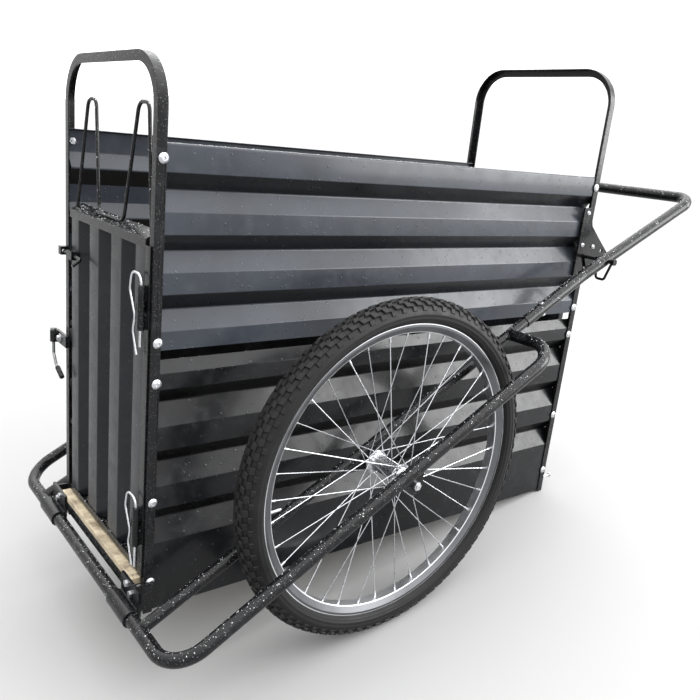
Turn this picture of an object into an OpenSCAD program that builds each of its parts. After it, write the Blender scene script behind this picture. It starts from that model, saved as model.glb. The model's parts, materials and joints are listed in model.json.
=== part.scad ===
// Two-wheeled garden cart: a ribbed sheet-steel box between two spoked wheels, hung in a bent-tube
// chassis with a push handle. The box tips forward about the chassis crossbar, and has a hinged
// gate at each end. Everything is laid out in the box's own frame (x along the floor from the front
// gate to the rear gate, y across, z up from the foot of the corner posts) and then set down on
// its wheels and its two rear feet by placed().

/* [Box] */
// Length of the box over its end frames
box_l = 1077; // [950:1:1300]
// Width of the box over its corner posts
box_w = 404; // [360:1:520]
// Height of the front frame
front_frame_h = 910; // [870:1:1050]
// Height of the rear frame
rear_frame_h = 1017; // [870:1:1150]
// Outer radius of the two top corners of a frame
frame_bend = 80; // [60:1:110]
// Flange of the steel angle that lies along the box
angle_depth = 16.5; // [15:0.5:25]
// Flange of the steel angle that lies across the box
angle_face = 16; // [14:0.5:18]
// Thickness of the steel angle
angle_t = 2.5; // [2:0.1:3]

/* [Side panels] */
// Sheet thickness of the side panels
sheet_t = 1.2; // [0.8:0.1:1.5]
// Depth of a pressed rib
rib_depth = 20; // [12:0.5:24]
// Number of ribs in each panel
rib_count = 3; // [2:1:3]
// Top edge of the upper panel
upper_top = 784; // [780:1:800]
// Flat land along the top of the upper panel
upper_first_land = 42; // [36:1:50]
// Upper face of an upper-panel rib
upper_rib_in = 27; // [22:1:30]
// Lower face of an upper-panel rib
upper_rib_out = 31; // [24:1:34]
// Flat land between two ribs of the upper panel
upper_land = 34; // [26:1:38]
// Flat land along the bottom of the upper panel
upper_last_land = 30; // [26:1:34]
// Turned-in lip along the top of the upper panel
top_lip = 9; // [5:1:15]
// Fold line along the top of the lower panel
lower_top = 431; // [425:1:433]
// Height of the leaning lip above that fold
lower_lip = 20; // [10:1:24]
// Flat land along the top of the lower panel
lower_first_land = 27; // [24:1:32]
// Upper face of a lower-panel rib
lower_rib_in = 26; // [22:1:28]
// Lower face of a lower-panel rib
lower_rib_out = 38; // [32:1:40]
// Flat land between two ribs of the lower panel
lower_land = 41; // [38:1:44]
// Height of the lower panel's bottom edge over the post feet
lower_bottom = 4; // [2:1:20]

/* [Floor] */
// Height of the floor board's top face over the post feet
floor_top = 63; // [58:1:70]
// Thickness of the floor board
board_t = 12; // [9:1:18]
// How far the board reaches past each end frame
board_overhang = 15; // [10:1:18]
// Flange of the angles that carry the board
lip_flange = 25; // [20:1:30]

/* [Gates] */
// Distance from the side of the box to the edge of a gate
gate_inset = 30; // [28:1:45]
// Gap between the floor board and the lower edge of a gate
gate_floor_gap = 5; // [3:1:17]
// Height of the gate's cap over the post feet
gate_top = 641; // [600:1:700]
// Depth of the gate's upright ribs
gate_rib_depth = 18; // [12:1:20]
// Width of the flat land between two upright ribs
gate_land = 46; // [36:1:50]
// Width across the mouth of an upright rib
gate_rib_w = 57; // [50:1:62]
// Diameter of the gate's bent-rod handle
gate_rod_d = 6; // [5:0.5:8]
// Gap between the rod handle's loops and the top bar of the front frame
gate_rod_gap = 56; // [30:1:100]

/* [Chassis] */
// Place of the crossbar ahead of the front frame
crossbar_x = -31; // [-40:1:-31]
// Height of the crossbar over the post feet
crossbar_z = 15.6; // [15:0.1:30]
// Slope of the chassis against the box floor, in degrees
incline = 28.5; // [24:0.5:32]
// Outer diameter of the loop tube
loop_d = 24.6; // [22:0.1:26]
// Wall of every tube
tube_wall = 1.8; // [1.5:0.1:2.5]
// Gap between the box side and the inner tube's middle
inner_gap = 57; // [50:1:70]
// Gap between the tyre and the loop tube
loop_tyre_gap = 23.7; // [15:0.1:40]
// Place along the slope of the loop's rear cross pieces
loop_rear = 918; // [880:1:940]
// Bend radius of the loop, to the middle of the tube
loop_bend = 62; // [50:1:75]
// Outer diameter of the inner tube
inner_d = 21.4; // [20:0.1:22]
// Wall of the handle tube, which slides over the inner tube
handle_wall = 1.9; // [1.5:0.1:2.5]
// Gap along the slope between the loop's cross pieces and the handle tube
handle_gap = 49; // [30:1:70]
// Length of inner tube that the handle tube covers
handle_lap = 120; // [90:1:140]
// Place along the slope of the grip bar
grip_at = 1550; // [1450:1:1700]
// How far each handle leg flares outward at the grip
grip_flare = 33; // [0:1:50]

/* [Wheels] */
// Radius of the tyre
tyre_r = 330; // [310:1:345]
// Width of the tyre
tyre_w = 54; // [48:1:58]
// Gap between the inner tube and the tyre
tyre_gap = 22.3; // [18:0.1:30]
// Place of the axle behind the front frame
axle_x = 429; // [380:1:480]
// Height of the axle over the post feet
axle_z = 234; // [210:1:240]
// How far the rim reaches up the side of the tyre
tyre_seat = 9.5; // [8:0.5:12]
// Diameter of the axle
axle_d = 10; // [9:0.5:12]
// Number of spokes in each wheel
spoke_count = 36; // [28:4:36]
// Diameter of a spoke
spoke_d = 2; // [1.8:0.1:2.6]

/* [Fits] */
// Radial clearance of every running fit
running = 0.05; // [0.02:0.01:0.1]
// Gap between pieces that pass each other
pass_gap = 1; // [0.5:0.1:2]

/* [Hidden] */
$fn = 48;
NEAR = -1;
FAR = 1;

// Box frame
half_w = box_w / 2;
panel_face = half_w - angle_t;
board_half_w = half_w - angle_face - 2;
lip_drop = 20;

// Panel bolts: distance of a row from the end of the box, and heights of the bolts in it
bolt_inset = 11;
upper_bottom = upper_top - upper_first_land - rib_count * (upper_rib_in + upper_rib_out)
    - (rib_count - 1) * upper_land - upper_last_land;
second_land = lower_top - lower_first_land - 2 * (lower_rib_in + lower_rib_out) - lower_land;
bolt_heights = [upper_top - 22.4, upper_bottom + 12.6, lower_top - 15, second_land - 26,
    floor_top - 3];
bolt_r = 3;
bolt_head_r = 8.2;
bolt_head_h = 4.2;
nut_r = 6.4;
nut_h = 5;

// Hinges: heights of the top of the upper and lower hinge, and sizes of their knuckles
front_hinge_tops = [gate_top - 69, floor_top + 135];
rear_hinge_tops = [gate_top - 275, floor_top + 121];
knuckle_h = 23;
knuckle_gap = 0.6;
knuckle_r = 6;
clip_r = 2.25;
clip_bend = 15;
hinge_x = -11;
hinge_y = -(half_w - angle_face);
strip_t = 3;
strip_w = 18;
strip_rise = 60;
leaf_t = 3;
leaf_x = hinge_x + clip_r + 0.4;

// Gate bolt and latch hook
bolt_z = gate_top - 81;
gate_bolt_r = 3;
bolt_x = -8;
bolt_travel = 30;
keeper_t = 6;
keeper_w = 14;
guide_y = half_w - 74;
guide_w = 26;
latch_z = 379;
latch_reach = 40;
latch_half_h = 12;
latch_bolt_y = half_w + 20;
hook_x = -12;
hook_r = 3;
hook_sleeve_r = 4.5;
hook_collar_h = 4;

// Gate sheet, cap and rails
gate_half = half_w - gate_inset;
gate_bottom = floor_top + gate_floor_gap;
gate_front = angle_t - 1.5;
gate_back = gate_front + gate_rib_depth;
gate_clear = gate_back + sheet_t + 0.8;
cap_t = 2;
cap_h = 15;
cap_rise = 11;
rail_h = 12;
rib_slope = 12;

// Chassis: radii of the tubes, and places across the cart of tubes and wheels
loop_r = loop_d / 2;
inner_r = inner_d / 2;
handle_r = inner_r + 0.1 + handle_wall;
inner_y = half_w + inner_gap;
wheel_y = inner_y + inner_r + tyre_gap + tyre_w / 2;
loop_y = wheel_y + tyre_w / 2 + loop_tyre_gap + loop_r;

// Pivot of the box on the crossbar
sleeve_l = 75;
sleeve_y = half_w - 50;
sleeve_r = loop_r + 3.7;
bracket_t = 5;
bracket_x = -board_overhang - bracket_t;
bracket_bolt_places = [[sleeve_y + 26, floor_top - 9], [sleeve_y + 42, floor_top - 21]];

// Bolt that stands out behind each rear foot
foot_bolt_l = 34;
foot_bolt_z = 34;

// Wheel
rim_r = tyre_r - tyre_w + tyre_seat;
rim_half_w = 15.5;
rim_bed_r = rim_r - 17.5;
bead_r = rim_r - 7.5;
flange_r = 24;
flange_t = 3;
spoke_stand = 1.4;
hub_out = 24;
hub_in = wheel_y - inner_y - inner_r - flange_t / 2 - spoke_d - spoke_stand - 0.4;
hub_face_h = 6;
hub_r = 14;
spoke_ring_r = 20;
nipple_l = 13;
nipple_r = 2.1;
valve_r = 3;
valve_angle = 175;
plate_t = 5;
axle_nut_r = 8.5;
axle_nut_h = 6.5;
cone_nut_h = 5;
axle_tip = 2;

// Chassis: place of the axle along and below the slope
axle_along = (axle_x - crossbar_x) * cos(incline) + (axle_z - crossbar_z) * sin(incline);
axle_below = (axle_x - crossbar_x) * sin(incline) - (axle_z - crossbar_z) * cos(incline);
grip_y = inner_y + grip_flare;
grip_bend = 36;
handle_start = loop_rear + handle_gap;
handle_bolt_at = handle_start + 57;
handle_bolt_r = 3;
handle_bolt_head_r = 5.6;
handle_bolt_head_h = 4;

// Lock pin: its place under the rear post and along the slope, and where the handle leg's middle is
// there, because the leg starts to flare a little ahead of it
lock_pin_x = box_l - 20;
lock_pin_at = (lock_pin_x - crossbar_x) / cos(incline);
lock_pin_z = crossbar_z + lock_pin_at * sin(incline);
lock_pin_r = 4;
flare_at = lock_pin_at - 70;
lock_pin_y = inner_y + grip_flare * (lock_pin_at - flare_at) / (grip_at - flare_at);
lock_pin_end = lock_pin_y + handle_r + 12;
bow_drop = 44;
bow_lean = 18;
bow_r = 3;

// Gusset on the rear post: outline, bolts and eye, all counted from the lock pin, and extra width of
// its slot toward the crossbar, because the pin leaves the slot along an arc
gusset_t = 5;
gusset_line = [[-23, 109.7], [1, 109.7], [17, 68.7], [51, 40.7], [106, -2.3], [83, -12.3],
    [19, -46.3], [-23, -46.3]];
gusset_bolt_places = [[-9, 98.7], [-10, 25.7], [31, 21.7]];
gusset_head_r = 5;
gusset_hole_r = 5;
gusset_hole = [69, 11.7];
slot_arc = 3;

// Bands round the seams of bent rods and of the handle tube
seam_w = 0.3;
seam_h = 0.03;
tube_seam_h = 0.3;

// Rest attitude: the box leans back until its rear feet meet the ground under the wheels
foot_run = box_l - axle_x;
tilt = asin(tyre_r / norm([foot_run, axle_z])) - atan(axle_z / foot_run);
front_reach = crossbar_x * cos(tilt) + crossbar_z * sin(tilt) - loop_r;
grip_x = crossbar_x + grip_at * cos(incline);
grip_z = crossbar_z + grip_at * sin(incline);
rear_reach = grip_x * cos(tilt) + grip_z * sin(tilt) + handle_r;
rest_shift = -(front_reach + rear_reach) / 2;
rest_lift = box_l * sin(tilt);

// ---------- Placing ----------

// Box frame to the ground: origin on the ground under the middle of the cart
module placed() {
    translate([rest_shift, 0, rest_lift]) rotate([0, tilt, 0]) children();
}

// Chassis plane: x up the slope from the crossbar, z square to the slope
module on_slope() {
    translate([crossbar_x, 0, crossbar_z]) rotate([0, -incline, 0]) children();
}

// One side of the cart; what it holds is drawn for the far side
module on_side(side) {
    if (side == NEAR) {
        mirror([0, 1, 0]) children();
    } else {
        children();
    }
}

// Rear end of the box; what it holds is drawn for the front end
module at_rear() {
    translate([box_l, 0, 0]) mirror([1, 0, 0]) children();
}

// Wheel frame: z along the axle pointing away from the box
module at_wheel(side) {
    on_side(side) translate([axle_x, wheel_y, axle_z]) rotate([-90, 0, 0]) children();
}

// ---------- Shapes ----------

function unit(v) = v / norm(v);

// Round rod from a to b
module rod(a, b, r) {
    d = b - a;
    translate(a) rotate([0, acos(d.z / norm(d)), atan2(d.y, d.x)]) cylinder(h = norm(d), r = r);
}

// Length of straight that a bend of radius bend uses up at corner q between p and s
function setback(p, q, s, bend) = bend / tan(acos(unit(p - q) * unit(s - q)) / 2);

// Bend of a rod at corner q, coming from p and leaving for s
module elbow(p, q, s, bend, r) {
    u = unit(p - q);
    v = unit(s - q);
    half = acos(u * v) / 2;
    centre = q + unit(u + v) * bend / sin(half);
    ax = unit(q + u * setback(p, q, s, bend) - centre);
    ay = -u;
    az = cross(ax, ay);
    multmatrix([[ax.x, ay.x, az.x, centre.x], [ax.y, ay.y, az.y, centre.y],
        [ax.z, ay.z, az.z, centre.z], [0, 0, 0, 1]])
        rotate_extrude(angle = 180 - 2 * half) translate([bend, 0]) circle(r);
}

// Rod of radius r along the points of path, rounded at each corner. Where a straight meets a bend a
// low band of height band stands round the seam, so that the two fuse into one solid
module bent_rod(path, bend, r, band = seam_h) {
    last = len(path) - 1;
    for (i = [0 : last - 1]) {
        way = unit(path[i + 1] - path[i]);
        from_a = i == 0 ? 0 : setback(path[i - 1], path[i], path[i + 1], bend);
        from_b = i == last - 1 ? 0 : setback(path[i], path[i + 1], path[i + 2], bend);
        rod(path[i] + way * from_a, path[i + 1] - way * from_b, r);
    }
    for (i = [1 : 1 : last - 1]) {
        elbow(path[i - 1], path[i], path[i + 1], bend, r);
        if (band > 0) {
            for (next = [path[i - 1], path[i + 1]]) {
                way = unit(next - path[i]);
                seam = path[i] + way * setback(path[i - 1], path[i], path[i + 1], bend);
                rod(seam - way * seam_w, seam + way * seam_w, r + band);
            }
        }
    }
}

// The same path with both ends moved outward by more
function longer(path, more) = let (last = len(path) - 1) [for (i = [0 : last])
    i == 0 ? path[0] + unit(path[0] - path[1]) * more
    : i == last ? path[last] + unit(path[last] - path[last - 1]) * more : path[i]];

// Tube along path
module bent_tube(path, bend, r, wall, band = 0) {
    difference() {
        bent_rod(path, bend, r, band);
        bent_rod(longer(path, 1), bend, r - wall, band);
    }
}

// Flat shape given in y and z, drawn out along x
module along_x(x0, x1) {
    translate([x0, 0, 0]) rotate([90, 0, 90]) linear_extrude(x1 - x0) children();
}

// Flat shape given in x and z, drawn out along y from y0 to y1
module along_y(y0, y1) {
    translate([0, y1, 0]) rotate([90, 0, 0]) linear_extrude(y1 - y0) children();
}

// Round bar across the cart from y0 to y1
module bar_y(x, z, y0, y1, r) {
    translate([x, y0, z]) rotate([-90, 0, 0]) cylinder(h = y1 - y0, r = r);
}

// Low round bolt head; its flat face is at y and it stands out toward larger y
module bolt_head(x, y, z, r = bolt_head_r) {
    translate([x, y, z]) rotate([-90, 0, 0]) {
        cylinder(h = bolt_head_h * 0.4, r = r);
        translate([0, 0, bolt_head_h * 0.4]) cylinder(h = bolt_head_h * 0.6, r1 = r, r2 = r * 0.6);
    }
}

// Hexagon head or nut across the cart
module hex_y(x, z, y0, y1, r) {
    translate([x, y0, z]) rotate([-90, 0, 0]) cylinder(h = y1 - y0, r = r, $fn = 6);
}

// ---------- Chassis ----------

module steel_black() {
    color([0.07, 0.07, 0.08]) children();
}

module zinc() {
    color([0.72, 0.73, 0.75]) children();
}

function loop_path(y_end) = [[loop_rear, -y_end, 0], [loop_rear, -loop_y, 0], [0, -loop_y, 0],
    [0, loop_y, 0], [loop_rear, loop_y, 0], [loop_rear, y_end, 0]];

module outer_loop() {
    steel_black() placed() on_slope() difference() {
        bent_tube(loop_path(inner_y), loop_bend, loop_r, tube_wall);
        for (side = [NEAR, FAR]) {
            rod([0, side * inner_y, 0], [handle_start, side * inner_y, 0], inner_r);
        }
    }
}

module inner_tube(side) {
    steel_black() placed() on_slope() on_side(side) difference() {
        bent_tube([[0, inner_y, 0], [handle_start + handle_lap, inner_y, 0]], 1, inner_r, tube_wall);
        rod([0, inner_y - loop_d, 0], [0, inner_y + loop_d, 0], loop_r);
        handle_bolt_shank();
    }
}

module inner_tube_near() {
    inner_tube(NEAR);
}

module inner_tube_far() {
    inner_tube(FAR);
}

// Room for the bolt that holds handle tube and inner tube together
module handle_bolt_shank() {
    rod([handle_bolt_at, inner_y, -2 * handle_r], [handle_bolt_at, inner_y, 2 * handle_r],
        handle_bolt_r);
}

function handle_path() = [[handle_start, -inner_y, 0], [flare_at, -inner_y, 0],
    [grip_at, -grip_y, 0], [grip_at, grip_y, 0], [flare_at, inner_y, 0], [handle_start, inner_y, 0]];

module handle() {
    steel_black() placed() on_slope() difference() {
        bent_tube(handle_path(), grip_bend, handle_r, handle_wall, tube_seam_h);
        for (side = [NEAR, FAR]) {
            on_side(side) handle_bolt_shank();
            on_side(side) bar_y(lock_pin_at, 0, half_w, lock_pin_y + 2 * handle_r, lock_pin_r);
        }
    }
}

// Each bolt stands square to the slope, with its head above the tube and its nut below
module handle_bolts() {
    zinc() placed() on_slope() for (side = [NEAR, FAR]) {
        on_side(side) translate([handle_bolt_at, inner_y, 0]) {
            translate([0, 0, -handle_r]) cylinder(h = 2 * handle_r, r = handle_bolt_r);
            translate([0, 0, handle_r])
                cylinder(h = handle_bolt_head_h, r = handle_bolt_head_r, $fn = 6);
            translate([0, 0, -handle_r - handle_bolt_head_h])
                cylinder(h = handle_bolt_head_h, r = handle_bolt_head_r, $fn = 6);
        }
    }
}

// Hanging plate that carries one end of the axle; tube_r is the tube it is welded under
module axle_plate(y, tube_r) {
    difference() {
        along_y(y - plate_t / 2, y + plate_t / 2) difference() {
            union() {
                translate([axle_along, -axle_below]) circle(19);
                polygon([[axle_along - 34, 0], [axle_along + 34, 0],
                    [axle_along + 18.5, -axle_below - 4], [axle_along - 18.5, -axle_below - 4]]);
            }
            translate([axle_along, -axle_below]) circle(axle_d / 2);
        }
        rod([axle_along - 60, y, 0], [axle_along + 60, y, 0], tube_r);
    }
}

module axle_plates(side) {
    steel_black() placed() on_slope() on_side(side) {
        axle_plate(loop_y, loop_r);
        axle_plate(inner_y, inner_r);
    }
}

module axle_plates_near() {
    axle_plates(NEAR);
}

module axle_plates_far() {
    axle_plates(FAR);
}

module axles() {
    zinc() placed() for (side = [NEAR, FAR]) {
        on_side(side) bar_y(axle_x, axle_z, inner_y - plate_t / 2 - axle_nut_h - axle_tip,
            loop_y + plate_t / 2 + axle_nut_h + axle_tip, axle_d / 2);
    }
}

// One nut between y0 and y1 with a hole for the axle
module axle_nut(y0, y1, r) {
    difference() {
        hex_y(axle_x, axle_z, y0, y1, r);
        bar_y(axle_x, axle_z, y0 - 1, y1 + 1, axle_d / 2);
    }
}

module axle_nuts() {
    outer_face = loop_y + plate_t / 2;
    inner_face = inner_y - plate_t / 2;
    hub_outer = wheel_y + hub_out + flange_t / 2 + hub_face_h + pass_gap;
    hub_inner = wheel_y - hub_in - flange_t / 2 - pass_gap;
    zinc() placed() for (side = [NEAR, FAR]) {
        on_side(side) {
            axle_nut(outer_face, outer_face + axle_nut_h, axle_nut_r);
            axle_nut(inner_face - axle_nut_h, inner_face, axle_nut_r);
            axle_nut(hub_outer, hub_outer + cone_nut_h, axle_nut_r);
            axle_nut(hub_inner - cone_nut_h, hub_inner, axle_nut_r);
            axle_nut(outer_face - plate_t - cone_nut_h, outer_face - plate_t, axle_nut_r);
        }
    }
}

// ---------- Wheels ----------

module hub(side) {
    out = hub_out + flange_t / 2;
    inn = -hub_in - flange_t / 2;
    zinc() placed() at_wheel(side) difference() {
        union() {
            translate([0, 0, inn]) cylinder(h = out - inn, r = hub_r);
            translate([0, 0, out - flange_t]) cylinder(h = flange_t, r = flange_r);
            translate([0, 0, inn]) cylinder(h = flange_t, r = flange_r);
            translate([0, 0, out]) cylinder(h = hub_face_h, r1 = hub_r + 2, r2 = hub_r - 2);
        }
        translate([0, 0, inn - 1]) cylinder(h = out - inn + 10, r = axle_d / 2 + running);
    }
}

module rim(side) {
    color([0.62, 0.63, 0.65]) placed() at_wheel(side) rotate_extrude($fn = 144) difference() {
        polygon([[rim_bed_r, -9], [rim_bed_r, 9], [bead_r + 2, rim_half_w],
            [rim_r, rim_half_w], [rim_r, rim_half_w - 2.5], [bead_r, rim_half_w - 2.5],
            [bead_r, 2.5 - rim_half_w], [rim_r, 2.5 - rim_half_w], [rim_r, -rim_half_w],
            [bead_r + 2, -rim_half_w]]);
        polygon([[rim_bed_r + 2, -7.4], [rim_bed_r + 2, 7.4], [bead_r - 1.6, 11],
            [bead_r - 1.6, -11]]);
    }
}

// Spoke number k of a wheel: where it leaves the hub, and where it meets the rim
function spoke_rim_angle(k) = k * 360 / spoke_count;
function spoke_pair(k) = floor(k / 2);
function spoke_turn(k) = spoke_pair(k) % 2 == 0 ? 1 : -1;
function spoke_lead(k) = spoke_turn(k) * 3 * 720 / spoke_count;
function spoke_flange_z(k) = k % 2 == 0 ? hub_out : -hub_in;

// A spoke on a flange's outer face stands off it, because it slants back over the flange's edge
function spoke_gap(k) = spoke_turn(k) * spoke_flange_z(k) > 0 ? spoke_stand : 0.05;
function spoke_seat(k) = spoke_turn(k) * (flange_t / 2 + spoke_d / 2 + spoke_gap(k));
function polar(r, a, z) = [r * cos(a), r * sin(a), z];
function spoke_foot(k) = polar(spoke_ring_r, spoke_rim_angle(k) + spoke_lead(k),
    spoke_flange_z(k) + spoke_seat(k));
function spoke_tip(k) = polar(rim_bed_r + 1, spoke_rim_angle(k), k % 2 == 0 ? 2 : -2);
function nipple_foot(k) = spoke_tip(k) + unit(spoke_foot(k) - spoke_tip(k)) * nipple_l;

module spokes(side) {
    zinc() placed() at_wheel(side) for (k = [0 : spoke_count - 1]) {
        rod(spoke_foot(k), nipple_foot(k), spoke_d / 2, $fn = 32);
    }
}

module nipples(side) {
    zinc() placed() at_wheel(side) intersection() {
        for (k = [0 : spoke_count - 1]) {
            rod(nipple_foot(k), spoke_tip(k), nipple_r, $fn = 32);
        }
        translate([0, 0, -rim_half_w]) cylinder(h = 2 * rim_half_w, r = rim_bed_r, $fn = 144);
    }
}

module tyre(side) {
    section = tyre_w / 2;
    middle = tyre_r - section;
    bead = rim_half_w - 2.5;
    color([0.09, 0.09, 0.09]) placed() at_wheel(side) rotate_extrude($fn = 144) difference() {
        translate([middle, 0]) circle(section);
        translate([middle + 1, 0]) circle(section - 5);
        translate([middle - section - 1, -section - 1])
            square([bead_r - middle + section + 1, tyre_w + 2]);
        for (up = [-1, 1]) {
            translate([bead_r - 0.5, up > 0 ? bead : -bead - section]) square([8.2, section]);
        }
    }
}

module valve(side) {
    zinc() placed() at_wheel(side) rotate([0, 0, valve_angle]) intersection() {
        rod([rim_bed_r - 24, 0, 0], [rim_bed_r + 4, 0, 0], valve_r);
        translate([0, 0, -rim_half_w]) cylinder(h = 2 * rim_half_w, r = rim_bed_r, $fn = 144);
    }
}

module hub_near() {
    hub(NEAR);
}

module rim_near() {
    rim(NEAR);
}

module spokes_near() {
    spokes(NEAR);
}

module nipples_near() {
    nipples(NEAR);
}

module tyre_near() {
    tyre(NEAR);
}

module valve_near() {
    valve(NEAR);
}

module hub_far() {
    hub(FAR);
}

module rim_far() {
    rim(FAR);
}

module spokes_far() {
    spokes(FAR);
}

module nipples_far() {
    nipples(FAR);
}

module tyre_far() {
    tyre(FAR);
}

module valve_far() {
    valve(FAR);
}

// ---------- Box frame and panels ----------

// Holes or shanks of the panel bolts on both sides of the end at x = 0
module panel_bolt_row(r, y0, y1) {
    for (side = [NEAR, FAR], z = bolt_heights) {
        on_side(side) bar_y(bolt_inset, z, y0, y1, r);
    }
}

// U-shaped end frame of height h bent from steel angle, standing at x = 0
module end_frame(h) {
    arch = half_w - frame_bend;
    difference() {
        union() {
            for (side = [NEAR, FAR]) {
                on_side(side) {
                    translate([0, half_w - angle_t, 0])
                        cube([angle_depth, angle_t, h - frame_bend]);
                    translate([0, half_w - angle_face, 0])
                        cube([angle_t, angle_face, h - frame_bend]);
                    translate([0, arch, h - frame_bend]) rotate([90, 0, 90])
                        rotate_extrude(angle = 90) polygon([[frame_bend, 0],
                            [frame_bend, angle_depth], [frame_bend - angle_t, angle_depth],
                            [frame_bend - angle_t, angle_t],
                            [frame_bend - angle_face, angle_t], [frame_bend - angle_face, 0]]);
                }
            }
            translate([0, -arch, h - angle_t]) cube([angle_depth, 2 * arch, angle_t]);
            translate([0, -arch, h - angle_face]) cube([angle_t, 2 * arch, angle_face]);
        }
        panel_bolt_row(bolt_r, panel_face - 1, half_w + 1);
    }
}

module front_frame() {
    steel_black() placed() end_frame(front_frame_h);
}

module rear_frame() {
    steel_black() placed() at_rear() end_frame(rear_frame_h);
}

// Outline of a panel face from its top at z0: a land, count ribs, and a last land
function rib_line(z0, first, rib_in, rib_out, land, last) = concat(
    [[panel_face, z0]],
    [for (k = [0 : rib_count - 1], step = [0 : 2])
        let (z = z0 - first - k * (rib_in + rib_out + land))
        step == 0 ? [panel_face, z]
        : step == 1 ? [panel_face - rib_depth, z - rib_in]
        : [panel_face, z - rib_in - rib_out]],
    [[panel_face, z0 - first - rib_count * (rib_in + rib_out) - (rib_count - 1) * land - last]]);

// Sheet between an outline and the same outline moved in by the sheet's thickness
module sheet_section(line) {
    count = len(line);
    polygon(concat(line, [for (i = [1 : count]) line[count - i] - [sheet_t, 0]]));
}

module side_panel(side) {
    on_side(side) difference() {
        along_x(angle_t + pass_gap, box_l - angle_t - pass_gap) children();
        panel_bolt_row(bolt_r, panel_face - sheet_t - 1, half_w);
        at_rear() panel_bolt_row(bolt_r, panel_face - sheet_t - 1, half_w);
    }
}

module upper_panel(side) {
    color([0.1, 0.1, 0.11]) placed() side_panel(side) {
        union() {
            sheet_section(rib_line(upper_top, upper_first_land, upper_rib_in, upper_rib_out,
                upper_land, upper_last_land));
            translate([panel_face - top_lip, upper_top - sheet_t]) square([top_lip, sheet_t]);
        }
    }
}

module lower_panel(side) {
    last = lower_top - lower_first_land - rib_count * (lower_rib_in + lower_rib_out)
        - (rib_count - 1) * lower_land - lower_bottom;
    line = rib_line(lower_top, lower_first_land, lower_rib_in, lower_rib_out, lower_land, last);
    lip_lean = 12;
    color([0.1, 0.1, 0.11]) placed() side_panel(side)
        sheet_section(concat([[panel_face - lip_lean, lower_top + lower_lip]], line));
}

module upper_panel_near() {
    upper_panel(NEAR);
}

module upper_panel_far() {
    upper_panel(FAR);
}

module lower_panel_near() {
    lower_panel(NEAR);
}

module lower_panel_far() {
    lower_panel(FAR);
}

module both_ends() {
    children();
    at_rear() children();
}

module panel_bolts() {
    zinc() placed() both_ends() {
        panel_bolt_row(bolt_r, panel_face - sheet_t - nut_h - 1, half_w);
        for (side = [NEAR, FAR], z = bolt_heights) {
            on_side(side) bolt_head(bolt_inset, half_w, z);
        }
    }
}

module panel_nuts() {
    inside = panel_face - sheet_t;
    zinc() placed() both_ends() for (side = [NEAR, FAR], z = bolt_heights) {
        on_side(side) difference() {
            hex_y(bolt_inset, z, inside - nut_h, inside, nut_r);
            bar_y(bolt_inset, z, inside - nut_h - 1, inside + 1, bolt_r);
        }
    }
}

// ---------- Floor ----------

module floor_board() {
    color([0.78, 0.66, 0.47]) placed() translate([-board_overhang, -board_half_w,
        floor_top - board_t]) cube([box_l + 2 * board_overhang, 2 * board_half_w, board_t]);
}

module floor_end_lips() {
    under = floor_top - board_t;
    steel_black() placed() both_ends() {
        translate([-board_overhang, -board_half_w, under - lip_drop])
            cube([angle_t, 2 * board_half_w, lip_drop]);
        translate([angle_t - board_overhang, -board_half_w, under - angle_t])
            cube([lip_flange - angle_t, 2 * board_half_w, angle_t]);
    }
}

module floor_side_angles() {
    under = floor_top - board_t;
    inside = panel_face - sheet_t;
    run_in = lip_flange - board_overhang + 1;
    steel_black() placed() for (side = [NEAR, FAR]) {
        on_side(side) along_x(run_in, box_l - run_in) polygon([[inside - lip_flange, under],
            [inside, under], [inside, under - lip_flange], [inside - angle_t, under - lip_flange],
            [inside - angle_t, under - angle_t], [inside - lip_flange, under - angle_t]]);
    }
}

// ---------- Pivot of the box on the crossbar ----------

module pivot_sleeves() {
    steel_black() placed() for (side = [NEAR, FAR]) {
        on_side(side) difference() {
            bar_y(crossbar_x, crossbar_z, sleeve_y, sleeve_y + sleeve_l, sleeve_r);
            bar_y(crossbar_x, crossbar_z, sleeve_y - 1, sleeve_y + sleeve_l + 1, loop_r + running);
        }
    }
}

// Plates from the sleeves to the front edge of the box, with an ear beside each corner post
module pivot_brackets() {
    steel_black() placed() for (side = [NEAR, FAR]) {
        on_side(side) difference() {
            union() {
                translate([bracket_x, sleeve_y, crossbar_z])
                    cube([bracket_t, sleeve_l, floor_top - crossbar_z]);
                translate([crossbar_x, sleeve_y, crossbar_z])
                    cube([bracket_x + bracket_t - crossbar_x, sleeve_l, bracket_t]);
                translate([bracket_x, half_w + 6, crossbar_z])
                    cube([bracket_t + board_overhang + angle_depth, 4, floor_top - crossbar_z]);
            }
            bar_y(crossbar_x, crossbar_z, sleeve_y - 1, sleeve_y + sleeve_l + 1, sleeve_r);
            for (place = bracket_bolt_places) {
                translate([bracket_x - 1, place[0], place[1]]) rotate([0, 90, 0])
                    cylinder(h = bracket_t + 2, r = bolt_r);
            }
        }
    }
}

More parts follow.
